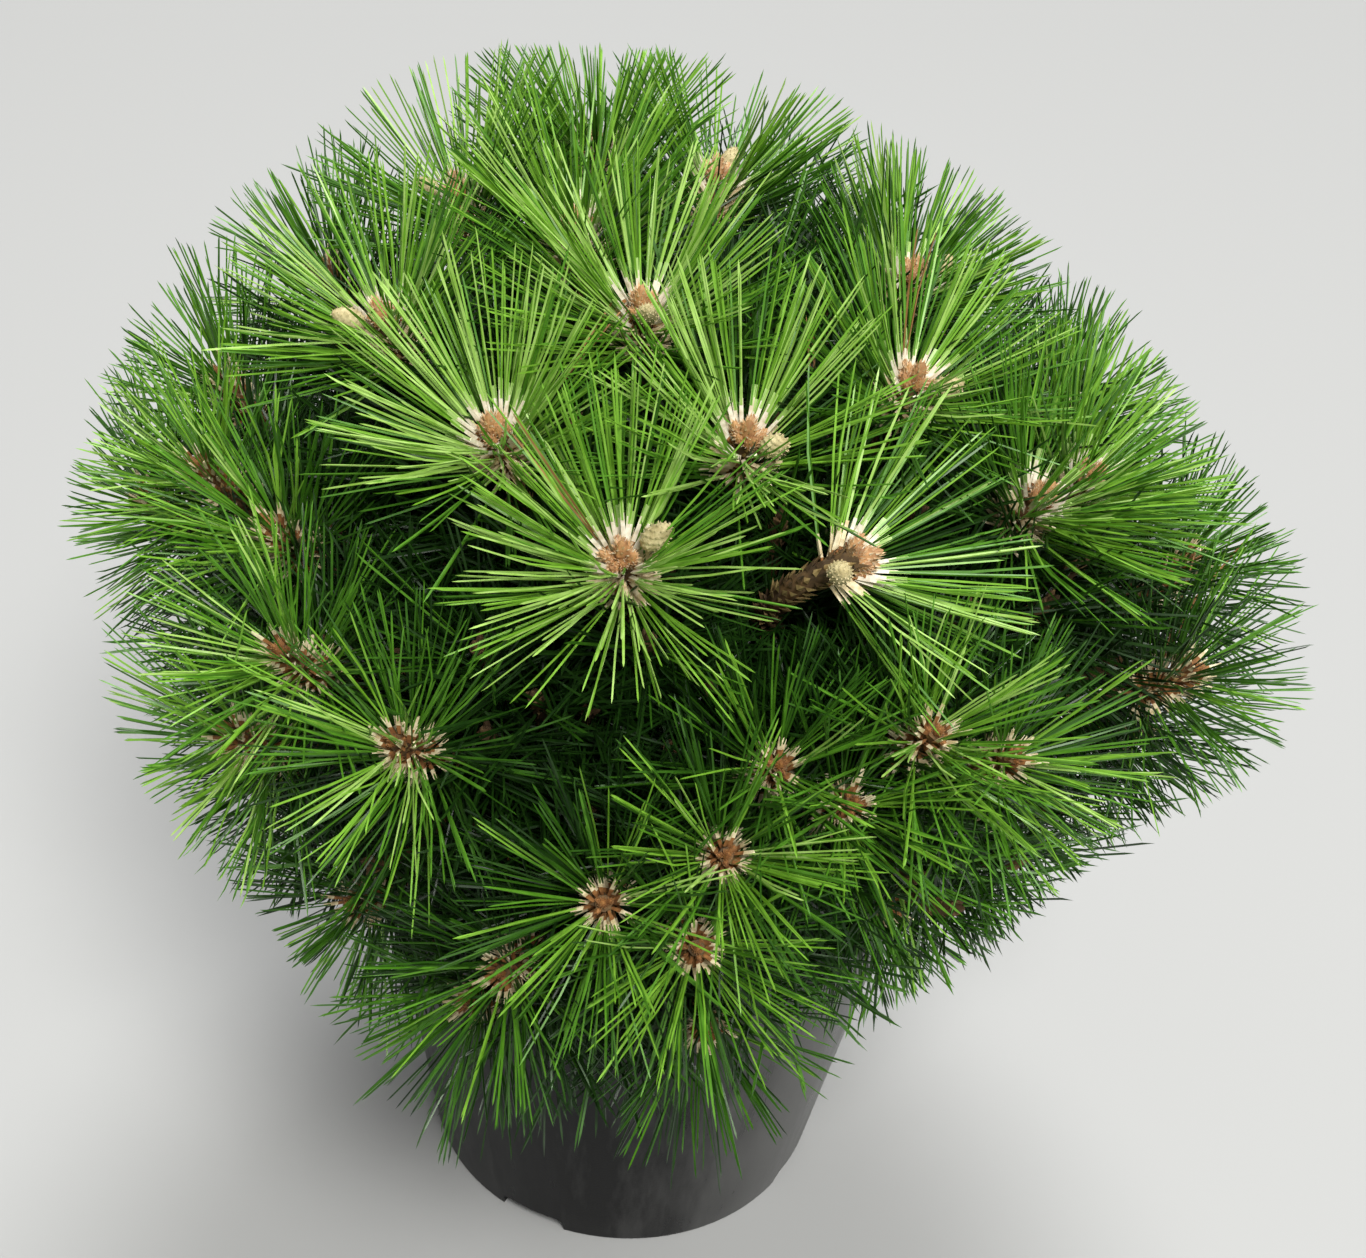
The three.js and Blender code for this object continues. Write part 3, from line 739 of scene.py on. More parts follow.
def add_ramp(tree, value, *stops):
    """The colour at a value on a ramp between two stops, each with its own value and colour."""
    made = add_node(tree, "ValToRGB", Fac=value)
    for element, (position, colour) in zip(made.color_ramp.elements, stops):
        element.position = position
        element.color = (*colour, 1)
    return made.outputs["Color"]


def add_relief(tree, shader, grain, strength, distance):
    """Bumps the shader's surface by a noise."""
    relief = add_node(tree, "Bump", Strength=strength, Distance=distance, Height=grain.outputs["Fac"])
    feed(tree, shader, Normal=relief.outputs["Normal"])


def principled(name, colour, roughness, specular=0.5):
    material = bpy.data.materials.new(name)
    material.use_nodes = True
    tree = material.node_tree
    shader = tree.nodes["Principled BSDF"]
    feed(tree, shader, Base_Color=(*colour, 1), Roughness=roughness, Specular_IOR_Level=specular)
    return material, tree, shader


def mottled(name, dark, light, scale, roughness, bump=0.0, bump_scale=0, detail=4, specular=0.5):
    """A material whose colour wanders between two tones, with a fine bump where one is asked for."""
    material, tree, shader = principled(name, light, roughness, specular)
    place = add_node(tree, "TexCoord").outputs["Object"]
    noise = add_node(tree, "TexNoise", Vector=place, Scale=scale, Detail=detail)
    feed(tree, shader, Base_Color=add_ramp(tree, noise.outputs["Fac"], (0.35, dark), (0.65, light)))
    if bump:
        grain = add_node(tree, "TexNoise", Vector=place, Scale=bump_scale, Detail=6)
        add_relief(tree, shader, grain, bump, 1 * MM)
    return material


def pot_material():
    """Black moulded plastic with faint streaks of dust that turn it grey and rougher, and a painted sheen
    that greys its right side more.
    """
    material, tree, shader = principled("pot_plastic", (0.004, 0.004, 0.005), 0.42, 0.2)
    place = add_node(tree, "TexCoord").outputs["Object"]
    stretched = add_node(tree, "Mapping", Vector=place, Scale=(1, 1, 0.16)).outputs["Vector"]
    dust = add_node(tree, "TexNoise", Vector=stretched, Scale=38, Detail=8, Roughness=0.65).outputs["Fac"]
    x = add_node(tree, "SeparateXYZ", Vector=place).outputs["X"]
    # Painted sheen: the dust's grey is raised towards the pot's right side, standing in for the floor's
    # reflection there.
    painted_sheen_side = add_node(tree, "MapRange", Value=x, From_Min=-10 * MM, From_Max=POT_FOOT_RADIUS)
    painted_sheen_side.interpolation_type = "SMOOTHSTEP"
    feed(tree, painted_sheen_side, To_Min=0.21, To_Max=0.46)
    dust_and_sheen = add_node(tree, "Math")
    dust_and_sheen.operation = "MULTIPLY_ADD"
    tree.links.new(dust, dust_and_sheen.inputs[0])
    dust_and_sheen.inputs[1].default_value = 0.5
    tree.links.new(painted_sheen_side.outputs["Result"], dust_and_sheen.inputs[2])
    # The grey tone is real dust and the painted sheen together.
    clean, dust_and_sheen_grey = (0.002, 0.002, 0.0022), (0.12, 0.12, 0.116)
    tone = add_ramp(tree, dust_and_sheen.outputs["Value"], (0.47, clean), (0.8, dust_and_sheen_grey))
    gloss = add_node(tree, "MapRange", Value=dust, From_Min=0.35, From_Max=0.7, To_Min=0.24, To_Max=0.5)
    feed(tree, shader, Base_Color=tone, Roughness=gloss.outputs["Result"])
    add_relief(tree, shader, add_node(tree, "TexNoise", Vector=place, Scale=900), 0.12, 0.3 * MM)
    return material


def make_materials():
    made = {name: mottled(name, *tones, 90, 0.42, specular=0.42) for name, (_, *tones) in GREENS.items()}
    for name, finish in {**FINISHES, **SOIL_FINISHES}.items():
        made[name] = mottled(name, *finish)
    made["pot_plastic"] = pot_material()
    return made


# Needles, sheaths and scales along one shoot.


def across_at(axes, turns):
    """The direction across each axis at a turn about it. Turn 0 is level."""
    level = unit(np.cross(axes, UP))
    return level * np.cos(turns)[:, None] + np.cross(axes, level) * np.sin(turns)[:, None]


def along_shoot(curve, count, nearest, farthest, crowding=1.0):
    """Places spread along a shoot's stem, by their distance back from its bud, in a golden spiral."""
    order = (np.arange(count) + 0.5) / count
    back = mix(nearest, farthest, order**crowding)
    shares = curve.share_at(curve.length - back)
    turns = GOLDEN_ANGLE * np.arange(count) + rng.normal(0, TURN_SPREAD, count)
    axes = curve.tangents(shares)
    return curve.points(shares), axes, across_at(axes, turns), order


def room_for(roots, directions, lengths, other_buds):
    """Needle lengths cut to the crown's edge, with 0 for one that would meet the pot, its soil or a bud."""
    tips = roots + directions * lengths[:, None]
    inner, outer = share_of_edge(roots), share_of_edge(tips)
    cut = np.clip((NEEDLE_OVERSHOOT - inner) / np.maximum(outer - inner, 1e-6), 0, 1)
    kept = lengths * np.where(outer > NEEDLE_OVERSHOOT, cut, 1)
    kept[kept < NEEDLE_SHORTEST * lengths] = 0
    for share in CHECKED_SHARES:
        points = roots + directions * (share * kept)[:, None]
        reach = np.hypot(points[:, 0], points[:, 1])
        meets_pot = (points[:, 2] < POT_HEIGHT + CLEAR_OVER_POT) & (reach < POT_RIM_RADIUS + CLEAR_ROUND_POT)
        kept[meets_pot] = 0
    along = np.einsum("nbk,nk->nb", other_buds[None] - roots[:, None], directions)
    nearest = roots[:, None] + directions[:, None] * np.clip(along, 0, kept[:, None])[..., None]
    meets_bud = np.linalg.norm(nearest - other_buds[None], axis=2).min(axis=1) < BUD_CLEARANCE
    kept[meets_bud] = 0
    return kept


def half_of_pairs(sign, starts, directions, beside, forward, breadth, mean_length, disorder):
    """One needle of each pair: its start, direction, ridge, bend and length."""
    count = len(starts)
    splay = rng.uniform(*PAIR_SPLAY, (count, 1))
    own = unit(directions + sign * splay * beside)
    lengths = mean_length * rng.normal(1, LENGTH_SPREAD, count)
    most, least = (spread * disorder for spread in BEND_SPREADS)
    bends = forward * rng.normal(FORWARD_BEND, most, (count, 1))
    bends = bends + beside * rng.normal(0, least, (count, 1))
    ridges = unit(sign * beside - own * np.sum(sign * beside * own, axis=1, keepdims=True))
    return starts + sign * PAIR_GAP * breadth * NEEDLE_WIDTH * beside, own, ridges, bends, lengths


def add_sheaths(kinds, roots, joints, ends, is_cream):
    """The sheaths round the pairs: brown at their roots, cream or tan at their ends."""
    kinds["sheath_brown"].append(prisms(roots, joints, 0.7 * SHEATH_RADIUS, SHEATH_RADIUS))
    for name, pick in (("sheath_cream", is_cream), ("sheath_tan", ~is_cream)):
        kinds[name].append(prisms(joints[pick], ends[pick], SHEATH_RADIUS, 0.85 * SHEATH_RADIUS))


def sprout(kinds, curve, zone, lit_vigour, habit, other_buds, is_open=False):
    """Pairs of needles round a zone of a shoot, each pair out of one sheath, dealt to their colours."""
    count, nearest, farthest, first_angle, last_angle, crowding, sheathed = zone
    breadth, mean_length, wide, narrow, sheath_length, brown_share, disorder, has_cream = habit
    points, axes, outward, order = along_shoot(curve, count, nearest, farthest, crowding)
    angles = np.radians(mix(first_angle, last_angle, order) + rng.normal(0, ANGLE_SPREAD, count))
    directions = axes * np.cos(angles)[:, None] + outward * np.sin(angles)[:, None]
    lift = np.interp(curve.end[2], DROOP_HEIGHTS, DROOP_LIFTS)
    directions = unit(directions + lift * UP + rng.normal(0, disorder, (count, 3)))
    back = mix(nearest, farthest, order**crowding)
    roots = points + outward * np.interp(back, (0, ROOT_TAPER), (wide, narrow))[:, None]
    sheath = sheath_length * rng.uniform(*SHEATH_SPREAD, (count, 1))
    ends = roots + directions * sheath
    beside = unit(np.cross(directions, rng.normal(0, 1, (count, 3))))
    forward = unit(axes - directions * np.sum(axes * directions, axis=1, keepdims=True))
    # Painted light and shade: each pair's tone takes the shoot's painted light and painted shade for lying
    # deep in the crown.
    tone = lit_vigour + shade_at(ends + directions * mean_length / 2) + rng.normal(0, TONE_SPREAD, count)
    dead = rng.random(count) < DEAD_SHARE
    starts = ends - directions * (SHEATH_OVERLAP * sheath)
    rings = NEEDLE_RINGS if sheathed else PLAIN_RINGS
    bears = outward @ BRIGHT_SIDE < OPEN_FRONT if is_open else np.ones(count, bool)
    is_cream = (order < CREAM_SHARE) & (sheathed and has_cream)
    grown = np.zeros(count, bool)
    for sign in (1, -1):
        *shape, lengths = half_of_pairs(
            sign, starts, directions, beside, forward, breadth, mean_length, disorder
        )
        kept = room_for(*shape[:2], lengths, other_buds) * bears
        grown |= kept > 0
        for name, chosen in tones(tone, dead):
            pick = chosen & (kept > 0)
            kinds[name].append(needles(*(part[pick] for part in shape), kept[pick], breadth, rings))
        pick = (kept > 0) & ~dead & is_cream
        low, own = shape[0][pick], shape[1][pick]
        pale = low + own * (SHEATH_OVERLAP * sheath[pick] + PALE_BASE)
        kinds["needle_base"].append(prisms(low, pale, 0.54 * NEEDLE_WIDTH, 0.5 * NEEDLE_WIDTH))
    if sheathed:
        joints = roots + directions * (brown_share * sheath)
        add_sheaths(kinds, roots[grown], joints[grown], ends[grown], is_cream[grown])


def shade_at(points):
    """Painted shade: how much darker needles are made for lying deep in the crown, as a change of tone."""
    return np.minimum(0, SHADE_SLOPE * (share_of_edge(points) - FULL_LIGHT))


def tones(tone, dead):
    """Which needles take which colour."""
    yield "needle_dead", dead
    brightest = math.inf
    for name, (least, *_) in GREENS.items():
        yield name, ~dead & (tone <= brightest) & (tone > least)
        brightest = least


def scale_stem(kinds, curve, radius, nearest, farthest, step, length):
    """Old needle bases: small pegs in a spiral that stand off the stem and point towards its bud."""
    count = max(1, int((farthest - nearest) / step))
    points, axes, outward, _ = along_shoot(curve, count, nearest, farthest)
    size = rng.uniform(*PEG_SIZES, (count, 1))
    roots = points + outward * PEG_SEAT * radius
    is_tan = rng.random(count) < PEG_TAN_SHARE
    width, height = PEG_WIDTH * length, PEG_HEIGHT * length
    for name, pick in (("stem_tan", is_tan), ("stem_brown", ~is_tan)):
        own = size[pick]
        shape = (roots[pick], axes[pick], outward[pick], length * own, width, height, width * own)
        kinds[name].append(flakes(*shape))


def stem_tube(curve, end_radius, sides, step):
    """A shoot's stem with small swellings."""
    rings = max(4, int(curve.length / step))
    shares = curve.share_at(np.linspace(0, curve.length, rings))
    radii = mix(TWIG_RADIUS, end_radius, np.linspace(0, 1, rings))[:, None] * np.ones((1, sides))
    radii = radii * (1 + TWIG_ROUGHNESS * rng.normal(0, 1, radii.shape))
    return tube(curve.points(shares), curve.tangents(shares), radii)


# Buds and young cones.


def bud_templates():
    """A bud one unit long along +Z: its body, its overlapping scales and their pale fringes."""
    body = upright_tube(np.array(BUD_HEIGHTS), np.tile(np.array(BUD_WIDTHS)[:, None], (1, BUD_SIDES)))
    places = np.arange(BUD_SCALES)
    rise = 0.06 + 0.8 * (places / BUD_SCALES) ** 0.9
    outward = level_circle(GOLDEN_ANGLE * places)
    roots = outward * (0.9 * np.interp(rise, BUD_HEIGHTS, BUD_WIDTHS))[:, None] + UP * rise[:, None]
    lean = unit(UP + outward * np.interp(rise, [0, 0.4, 1], [0.6, 0.3, -0.2])[:, None])
    scales = flakes(roots, lean, outward, 0.22, 0.12, 0.04, 0.06)
    edge, tilt = outward[::2], unit(lean + 0.35 * outward)[::2]
    fringes = flakes(roots[::2] + 0.03 * edge, tilt, edge, 0.2, 0.05, 0.03, 0.06)
    return body, scales, fringes


def frame_from(axes):
    """For each axis, three columns: two across it and the axis itself."""
    across = -any_across(axes)
    return np.stack([across, np.cross(axes, across), axes], axis=2)


def add_buds(kinds, templates, curve, cluster, size, names):
    """One bud at a shoot's tip with a ring of smaller ones leaning out round it."""
    bud, axis = curve.end, curve.tangents(1.0)[0]
    lean = rng.uniform(0.35, 1.0, cluster)
    turns = GOLDEN_ANGLE * np.arange(cluster) + rng.uniform(0, 6)
    ring = across_at(np.tile(axis, (cluster, 1)), turns)
    axes = np.concatenate([[axis], unit(axis + ring * lean[:, None])])
    lengths = size * np.concatenate([[1.2], rng.uniform(0.7, 1.0, cluster)])
    origins = bud - axis * 0.3 * size + (axes - axis) * 0.4 * size
    frames = frame_from(axes) * lengths[:, None, None]
    for name, template in zip(names, templates):
        kinds[name].append(stamp(*template, origins, frames))


def conelet_template():
    """A young cone one unit long along +Z: an egg with rows of blunt scales, and their points."""
    heights = (np.arange(CONELET_RINGS) + 0.5) / CONELET_RINGS
    profile = 0.33 * np.sin(math.pi * heights**0.85) ** 0.62
    places = np.arange(CONELET_KNOBS)
    knob_height = (places + 0.5) / CONELET_KNOBS
    knob_turn = (GOLDEN_ANGLE * places) % FULL_TURN
    apart = np.abs(angles_round(CONELET_SIDES)[None, :, None] - knob_turn[None, None])
    apart = np.minimum(apart, FULL_TURN - apart) * profile[:, None, None]
    rise = heights[:, None, None] - knob_height[None, None]
    knobs = np.exp(-(apart**2 + rise**2) / KNOB_SPREAD).max(axis=2)
    egg = upright_tube(heights, profile[:, None] * (0.86 + 0.22 * knobs))
    outward = level_circle(knob_turn)
    roots = outward * (0.98 * np.interp(knob_height, heights, profile))[:, None] + UP * knob_height[:, None]
    points = flakes(roots, unit(outward + 0.9 * UP), outward, 0.045, 0.06, 0.01, 0.015)
    return egg, points


def place_conelet(bud, axis, turn, back, lean):
    """A young cone's foot and direction beside a bud, at a turn in degrees: 0 is level and 90 below it."""
    side = across_at(axis[None], np.radians([turn]))[0]
    return bud + side * CONELET_APART - axis * back, unit(axis + lean * side)


def add_conelet(kinds, templates, foot, direction):
    size = rng.uniform(*CONELET_LENGTHS) * MM
    for name, template in zip(("conelet", "conelet_point"), templates):
        kinds[name].append(stamp(*template, foot[None], frame_from(direction[None]) * size))


# The plant.


def lit_vigour_at(point):
    """How bright a shoot's needles are made: painted light on the bright side, and more towards the top of
    the crown, partly for fresher needles and partly as painted light.
    """
    height = np.clip((point[2] - VIGOUR_FOOT) / VIGOUR_RISE, 0, VIGOUR_TOP)
    facing = np.clip(np.dot(unit(point - CROWN_CENTRE), BRIGHT_SIDE), 0, 1)
    return VIGOUR_BASE + VIGOUR_AND_LIGHT_BY_HEIGHT * height + PAINTED_LIGHT_BY_SIDE * facing**PAINTED_LIGHT_FOCUS


def grow_shoot(kinds, shapes, curve, other_buds, is_upper, is_leaning):
    """An outer shoot: its stem with old needle bases, fresh and old needles, and its bud cluster."""
    stem, length = (BARE_STEM_RADIUS, 6 * MM) if is_leaning else (STEM_RADIUS, 4.4 * MM)
    kinds["stem_brown"].append(stem_tube(curve, stem, 7, 6 * MM))
    scale_stem(kinds, curve, stem, 2 * MM, min(110 * MM, 0.95 * curve.length), 0.6 * MM, length)
    lit_vigour = lit_vigour_at(curve.end)
    if is_upper:
        zone = LEANING_ZONE if is_leaning else TOP_ZONE
        sprout(kinds, curve, zone, lit_vigour, UPPER_HABIT, other_buds, is_open=is_leaning)
        sprout(kinds, curve, BARE_OLD_ZONE, lit_vigour - OLD_DIMMING, LOWER_HABIT, other_buds)
        add_buds(kinds, shapes["bud"], curve, 6, 10.5 * MM, UPPER_BUDS)
    else:
        sprout(kinds, curve, LOW_ZONE, lit_vigour, LOWER_HABIT, other_buds)
        sprout(kinds, curve, OLD_ZONE, lit_vigour - OLD_DIMMING, LOWER_HABIT, other_buds)
        add_buds(kinds, shapes["bud"][:2], curve, 3, 6 * MM, LOWER_BUDS)


def grow_inner_shoot(kinds, shapes, curve, other_buds, painted_shade):
    """A weaker shoot with shorter needles and one small bud."""
    kinds["stem_brown"].append(stem_tube(curve, STEM_RADIUS, 6, 9 * MM))
    # Painted shade: the needles are darkened by painted_shade, which inner shoots are given and skirt shoots
    # are not.
    sprout(kinds, curve, INNER_ZONE, lit_vigour_at(curve.end) - painted_shade, INNER_HABIT, other_buds)
    scale_stem(kinds, curve, STEM_RADIUS, 4 * MM, min(60 * MM, 0.9 * curve.length), 1.4 * MM, 3.6 * MM)
    add_buds(kinds, shapes["bud"][:1], curve, 1, 7 * MM, INNER_BUDS)


def bark_relief(rings, sides, along, size):
    """Flaky ridges that run along a limb, as shares of its radius."""
    angles = angles_round(sides)[None]
    along = along[:, None]
    total = np.zeros((rings, sides))
    for waves, pitch, depth in BARK_RIDGES:
        phase = rng.uniform(0, FULL_TURN, 3)
        bend = np.sin(along * pitch * 0.6 + phase[1])
        ridge = np.sin(waves * angles + 1.4 * bend + phase[0])
        total += depth * ridge * np.cos(along * pitch + phase[2])
    cracks = np.abs(np.sin(4 * angles + 9 * np.sin(along * 55) + rng.uniform(0, 6)))
    return size * (total - CRACK_DEPTH * (cracks < CRACK_SHARE))


def limb_tube(curve, radius_at, sides, step, relief):
    """A trunk, bough or stem with bark relief, whose radius follows its share of the way along."""
    rings = int(curve.length / step)
    along = np.linspace(0, curve.length, rings)
    shares = curve.share_at(along)
    radii = radius_at(shares)[:, None] * (1 + bark_relief(rings, sides, along, relief))
    return tube(curve.points(shares), curve.tangents(shares), radii)


def tapered(curve, start_radius, end_radius, sides, step):
    return limb_tube(curve, lambda shares: mix(start_radius, end_radius, shares), sides, step, 1.6)


def trunk_limb(trunk):
    """The trunk, which flares out to its foot on the soil."""

    def radius_at(shares):
        height = np.maximum(0, trunk.points(shares)[:, 2] - SOIL_TOP)
        flare = (TRUNK_FLARE_RADIUS - TRUNK_FOOT_RADIUS) * np.exp(-height / TRUNK_FLARE_HEIGHT)
        return mix(TRUNK_FOOT_RADIUS, TRUNK_TIP_RADIUS, shares) + flare

    return limb_tube(trunk, radius_at, 36, 1.6 * MM, 1.0)


def grow_limbs(kinds, trunk, buds, i):
    """A mass's bough and the stem from there to its fork. The first mass has its stem on the trunk's tip."""
    bough = trunk
    if i:
        bough = bough_curve(trunk, buds, i)
        kinds["bark"].append(tapered(bough, BOUGH_BASE_RADIUS, BOUGH_TIP_RADIUS, 14, 2.6 * MM))
    fork = path_share(buds, i, fork_share(buds, i))
    entry, heading = bough.points(1.0)[0], bough.tangents(1.0)[0]
    stem = Curve(entry, entry + heading * np.linalg.norm(fork - entry) / 2, fork)
    kinds["bark"].append(tapered(stem, BOUGH_TIP_RADIUS, STEM_RADIUS, 12, 2 * MM))
    return fork


def grow_plant():
    """All of the plant's shapes, each under the name of its finish."""
    kinds = {name: [] for name in (*GREENS, *FINISHES)}
    shapes = {"bud": bud_templates(), "conelet": conelet_template()}
    buds = grow_buds()
    bare = bare_points(buds)
    inner = grow_inner_buds(buds, bare)
    facings = [[facing_of(bud, lean_of(i, n)) for n, bud in enumerate(group)] for i, group in enumerate(buds)]
    outer_buds, outer_facings = np.concatenate(buds), np.concatenate(facings)
    bud_room = outer_buds[:, None] + np.array(BUD_ROOM)[:, None] * outer_facings[:, None]
    conelets = {i: place_conelet(buds[i][0], facings[i][0], *place) for i, place in CONELET_PLACES.items()}
    shown = [foot + CONELET_MIDDLE * direction for foot, direction in conelets.values()]
    shown += [buds[i][0] + depth * BRIGHT_SIDE for i in SHOWN_LINES for depth in SIGHT_DEPTHS]

    def kept_open(bud):
        """What the needles of a bud's shoot keep clear of. The leaning shoot's grow on its own bare stem."""
        others = bud_room[np.linalg.norm(outer_buds - bud, axis=1) > MM].reshape(-1, 3)
        return np.concatenate([others, shown] if bud is buds[LEAN_LINE][0] else [others, shown, bare])

    trunk = Curve(SOIL_TOP * UP, TRUNK_BEND, TRUNK_TIP)
    kinds["bark"].append(trunk_limb(trunk))
    for i, (_, elevation, *_) in enumerate(LEADERS):
        fork = grow_limbs(kinds, trunk, buds, i)
        for n, bud in enumerate(buds[i]):
            curve, is_leaning = shoot_curve(fork, bud, lean_of(i, n)), i == LEAN_LINE and n == 0
            grow_shoot(kinds, shapes, curve, kept_open(bud), elevation > UPPER_ELEVATION, is_leaning)
            if n == 0 and i in conelets:
                add_conelet(kinds, shapes["conelet"], *conelets[i])
        weaker = [(bud, INNER_PAINTED_SHADE) for bud in inner[i]]
        weaker += [(bud_point(place), 0) for line, *place in SKIRT_SHOOTS if line == i]
        for bud, painted_shade in weaker:
            grow_inner_shoot(kinds, shapes, shoot_curve(fork, bud), kept_open(bud), painted_shade)
    return kinds


def dress_plant(materials):
    masses = [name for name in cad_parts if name.startswith("mass_")]
    limbs = [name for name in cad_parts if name.startswith("bough_")] + ["trunk"]
    for name, grown in grow_plant().items():
        is_limb = name == "bark"
        slot = "bark" if name in ("bark", "stem_tan", "stem_brown") else "foliage"
        smooth = name in ("bark", "conelet")
        made = pieces_of(grown, "limb" if is_limb else name, materials[name], slot, smooth)
        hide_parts(*(limbs if is_limb else masses))


# Pot and soil.


def lathe(name, profile, sides):
    """A closed turned shape from a profile that starts and ends on the axis."""
    profile = np.array(profile)
    inner = profile[1:-1]
    reach = level_circle(angles_round(sides))[None] * inner[:, 0, None, None]
    rings = (reach + inner[:, 1, None, None] * UP).reshape(-1, 3)
    ends = profile[[0, -1], 1, None] * UP
    return add_mesh(name, np.concatenate([rings, ends]), closed_tube(sides, len(inner)))


def arc(centre_r, centre_z, radius, first, last, steps=6):
    """Points of a rounded corner in a lathe profile, from one angle in degrees to another."""
    return [
        (centre_r + radius * math.cos(math.radians(a)), centre_z + radius * math.sin(math.radians(a)))
        for a in np.linspace(first, last, steps)
    ]


def pot_outer(z):
    return POT_FOOT_RADIUS + (POT_RIM_RADIUS - POT_FOOT_RADIUS) * z / POT_HEIGHT


def pot_profile():
    """The pot's section: a rounded foot, a stepped rim band with a lip, and a thin wall."""
    band_foot, lip_foot = POT_HEIGHT - RIM_BAND, POT_HEIGHT - LIP_HEIGHT
    band_top = band_foot + RIM_STEP + EDGE_ROUND
    lip_reach = pot_outer(POT_HEIGHT) + RIM_STEP + LIP_STEP - LIP_ROUND
    inner_top = pot_outer(POT_HEIGHT) - POT_WALL
    profile = [(0, 0), (POT_CORNER_RADIUS, 0)]
    profile += arc(POT_FOOT_RADIUS - FOOT_ROUND, FOOT_ROUND, FOOT_ROUND, -90, 0)
    profile += [(pot_outer(z), z) for z in np.linspace(8 * MM, band_foot - EDGE_ROUND, 14)]
    profile += [(pot_outer(band_foot) + RIM_STEP - EDGE_ROUND, band_foot + RIM_STEP - EDGE_ROUND)]
    profile += [(pot_outer(z) + RIM_STEP, z) for z in np.linspace(band_top, lip_foot - EDGE_ROUND, 5)]
    profile += [(lip_reach, lip_foot)]
    profile += arc(lip_reach, lip_foot + LIP_ROUND, LIP_ROUND, -60, 0, 4)
    profile += arc(lip_reach, POT_HEIGHT - LIP_ROUND, LIP_ROUND, 0, 90, 5)
    profile += arc(inner_top + EDGE_ROUND, POT_HEIGHT - EDGE_ROUND, EDGE_ROUND, 90, 180, 4)
    profile += [(pot_outer(z) - POT_WALL, z) for z in np.linspace(POT_HEIGHT - 4 * MM, POT_CORNER_HEIGHT, 8)]
    profile += [(POT_CORNER_RADIUS, POT_CORNER_HEIGHT), (POT_CORNER_RADIUS, POT_BASE), (0, POT_BASE)]
    return profile


def cut(target, cutter):
    """Cuts one closed shape out of another."""
    modifier = target.modifiers.new("cut", "BOOLEAN")
    modifier.object = cutter
    modifier.operation = "DIFFERENCE"
    modifier.solver = "EXACT"
    graph = bpy.context.evaluated_depsgraph_get()
    mesh = bpy.data.meshes.new_from_object(target.evaluated_get(graph))
    target.modifiers.clear()
    target.data = mesh
    bpy.data.objects.remove(cutter)


def make_pot(material):
    """The pot with notches at its foot and drain holes."""
    pot = lathe("pot_shell", pot_profile(), POT_SIDES)
    for n in range(OPENINGS):
        cut(pot, notch_cutter(math.radians(NOTCH_AZIMUTH + 90 * n)))
        cut(pot, hole_cutter(math.radians(HOLE_AZIMUTH + 90 * n)))
    pot.data.materials.clear()
    pot.data.materials.append(material)
    pot.data.shade_smooth()
    pot.data.set_sharp_from_angle(angle=math.radians(SHARP_ANGLE))
    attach(pot, "root")
    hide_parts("pot")


def extruded(name, outline, transform):
    """A closed shape: an outline of (x, z) points pushed from y = -1 to y = 1, then put in its place."""
    count = len(outline)
    vertices = [(x, -1, z) for x, z in outline] + [(x, 1, z) for x, z in outline]
    sides = [(k + count, (k + 1) % count + count, (k + 1) % count, k) for k in range(count)]
    made = add_mesh(name, vertices, [range(count), range(2 * count - 1, count - 1, -1), *sides])
    made.data.transform(transform)
    return made


def notch_cutter(azimuth):
    """A low arch with rounded shoulders, set into the foot's edge."""
    half, shoulder = NOTCH_HALF_WIDTH, NOTCH_SHOULDER
    outline = [(-half, -NOTCH_HEIGHT), (half, -NOTCH_HEIGHT)]
    outline += arc(half - shoulder, NOTCH_HEIGHT - shoulder, shoulder, 0, 90)
    outline += arc(-half + shoulder, NOTCH_HEIGHT - shoulder, shoulder, 90, 180)
    turn = Matrix.Rotation(azimuth, 4, "Z")
    place = Matrix.Translation((0, -POT_FOOT_RADIUS, 0)) @ Matrix.Diagonal((1, NOTCH_DEPTH, 1, 1))
    return extruded("notch", outline, turn @ place)


def hole_cutter(azimuth):
    """An upright round bar through the pot's base."""
    outline = arc(0, 0, HOLE_RADIUS, 0, 345, 24)
    lay = Matrix.Rotation(math.radians(90), 4, "X") @ Matrix.Diagonal((1, HOLE_DEPTH, 1, 1))
    place = Matrix.Rotation(azimuth, 4, "Z") @ Matrix.Translation((0, -HOLE_REACH, 0))
    return extruded("hole", outline, place @ lay)


def soil_height(reach, limit):
    """The soil's level: highest at the trunk's collar, and falling to the pot's wall."""
    levels = (SOIL_TOP, (SOIL_TOP + SOIL_EDGE) / 2, SOIL_EDGE)
    return np.interp(reach, (SOIL_COLLAR, SOIL_MOUND, limit), levels)


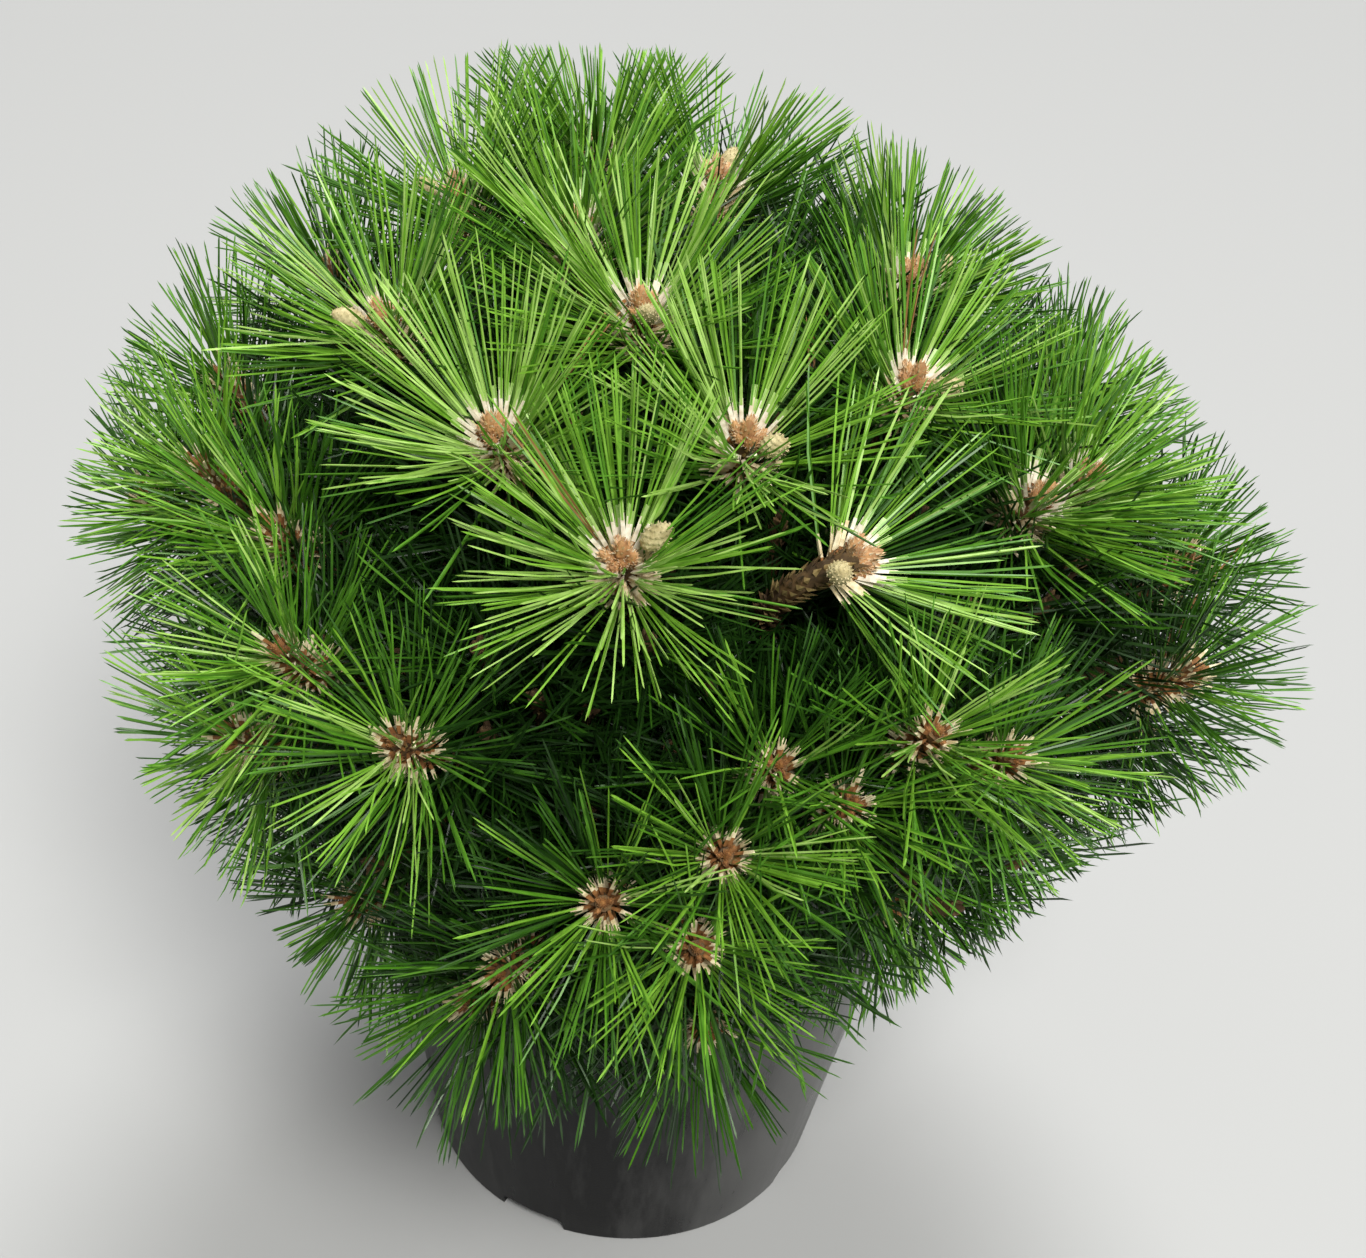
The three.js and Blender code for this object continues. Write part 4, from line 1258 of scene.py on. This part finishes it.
def make_soil(materials):
    """Potting mix: a lumpy surface under loose bark chips."""
    rim = pot_outer(SOIL_EDGE) - POT_WALL - SOIL_GAP
    floor_edge = pot_outer(POT_CORNER_HEIGHT) - POT_WALL - SOIL_GAP
    corner, corner_top = POT_CORNER_RADIUS - SOIL_GAP, POT_CORNER_HEIGHT + SOIL_GAP
    profile = [(0, POT_BASE + SOIL_GAP), (corner, POT_BASE + SOIL_GAP), (corner, corner_top)]
    profile += [(floor_edge, corner_top), (rim, SOIL_EDGE - 2 * MM)]
    profile += [(r, soil_height(r, rim)) for r in np.linspace(rim - 1 * MM, 4 * MM, 40)]
    profile += [(0, SOIL_TOP)]
    soil = lathe("soil_mix", profile, SOIL_SIDES)
    places = np.array([v.co for v in soil.data.vertices])
    x, y, z = places.T
    is_top = z > SOIL_EDGE - 1 * MM
    lumps = sum(depth * np.sin(x * a + p) * np.sin(y * b + q) for depth, a, b, p, q in SOIL_LUMPS)
    places[is_top, 2] += lumps[is_top] + rng.normal(0, SOIL_GRAIN, is_top.sum())
    soil.data.vertices.foreach_set("co", places.astype(np.float32).ravel())
    soil.data.materials.append(materials["soil"])
    soil.data.shade_smooth()
    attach(soil, "root")
    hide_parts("soil")
    chips = piece("soil_chips", *scatter_chips(rim - CHIP_MARGIN), materials["soil_chip"], "potting_soil")
    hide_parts("soil")


def chip_shape():
    """A flat chip two units wide, a little smaller on top."""
    sides = len(CHIP_OUTLINE)
    vertices = [(x, y, -1) for x, y in CHIP_OUTLINE] + [(0.9 * x, 0.9 * y, 1) for x, y in CHIP_OUTLINE]
    base = [(0, k + 1, k) for k in range(1, sides - 1)]
    top = [(sides, sides + k, sides + k + 1) for k in range(1, sides - 1)]
    return np.array(vertices), np.concatenate([base, top, *walls(sides, 2)])


def scatter_chips(limit):
    """Flat bark chips lying at all angles on the soil."""
    reach = limit * np.sqrt(rng.random(CHIP_COUNT))
    reach = reach[reach > TRUNK_FLARE_RADIUS]
    count = len(reach)
    turns = rng.uniform(0, FULL_TURN, count)
    origins = reach[:, None] * level_circle(turns) + (soil_height(reach, limit) + CHIP_LIFT)[:, None] * UP
    frames = frame_from(unit(rng.normal(0, CHIP_TILT, (count, 3)) + UP))
    size = MM * np.stack([rng.uniform(*spread, count) for spread in CHIP_SIZES], axis=1)
    spin = rng.uniform(0, FULL_TURN, count)
    cos, sin = np.cos(spin), np.sin(spin)
    zero, one = np.zeros(count), np.ones(count)
    turn = np.stack([cos, -sin, zero, sin, cos, zero, zero, zero, one], axis=1).reshape(-1, 3, 3)
    return stamp(*chip_shape(), origins, frames @ turn * size[:, None, :])


# Stage.


def make_camera():
    """The photograph's camera, from its place, pitch and roll."""
    camera = add_object("camera", bpy.data.cameras.new("camera"))
    pitch = Matrix.Rotation(math.radians(90 - CAMERA_PITCH), 4, "X")
    roll = Matrix.Rotation(math.radians(CAMERA_ROLL), 4, "Z")
    camera.matrix_world = Matrix.Translation(CAMERA_PLACE) @ pitch @ roll
    camera.data.lens = LENS
    camera.data.sensor_width = SENSOR
    camera.data.clip_start = 0.05
    bpy.context.scene.camera = camera


def make_light(name, place, target, size, watts, colour):
    """A round soft light that faces its target."""
    data = bpy.data.lights.new(name, "AREA")
    data.shape = "DISK"
    data.size = size
    data.energy = watts
    data.color = colour
    turn = (Vector(place) - Vector(target)).to_track_quat("Z", "Y")
    add_object(name, data).matrix_world = Matrix.Translation(place) @ turn.to_matrix().to_4x4()


def make_stage():
    """A plain pale floor under soft studio light."""
    floor_material, *_ = principled("floor", FLOOR_COLOUR, 0.6, 0.25)
    half = FLOOR_HALF_WIDTH
    corners = [(-half, -half, 0), (half, -half, 0), (half, half, 0), (-half, half, 0)]
    floor = add_mesh("floor", corners, [range(4)])
    floor.data.materials.append(floor_material)
    world = bpy.data.worlds.new("studio")
    world.use_nodes = True
    background = world.node_tree.nodes["Background"]
    background.inputs["Color"].default_value = STUDIO_COLOUR
    background.inputs["Strength"].default_value = STUDIO_STRENGTH
    bpy.context.scene.world = world
    for name, light in LIGHTS.items():
        make_light(name, *light)
    bpy.context.scene.view_settings.view_transform = "Standard"


make_camera()
make_stage()
materials = make_materials()
make_pot(materials["pot_plastic"])
make_soil(materials)
dress_plant(materials)
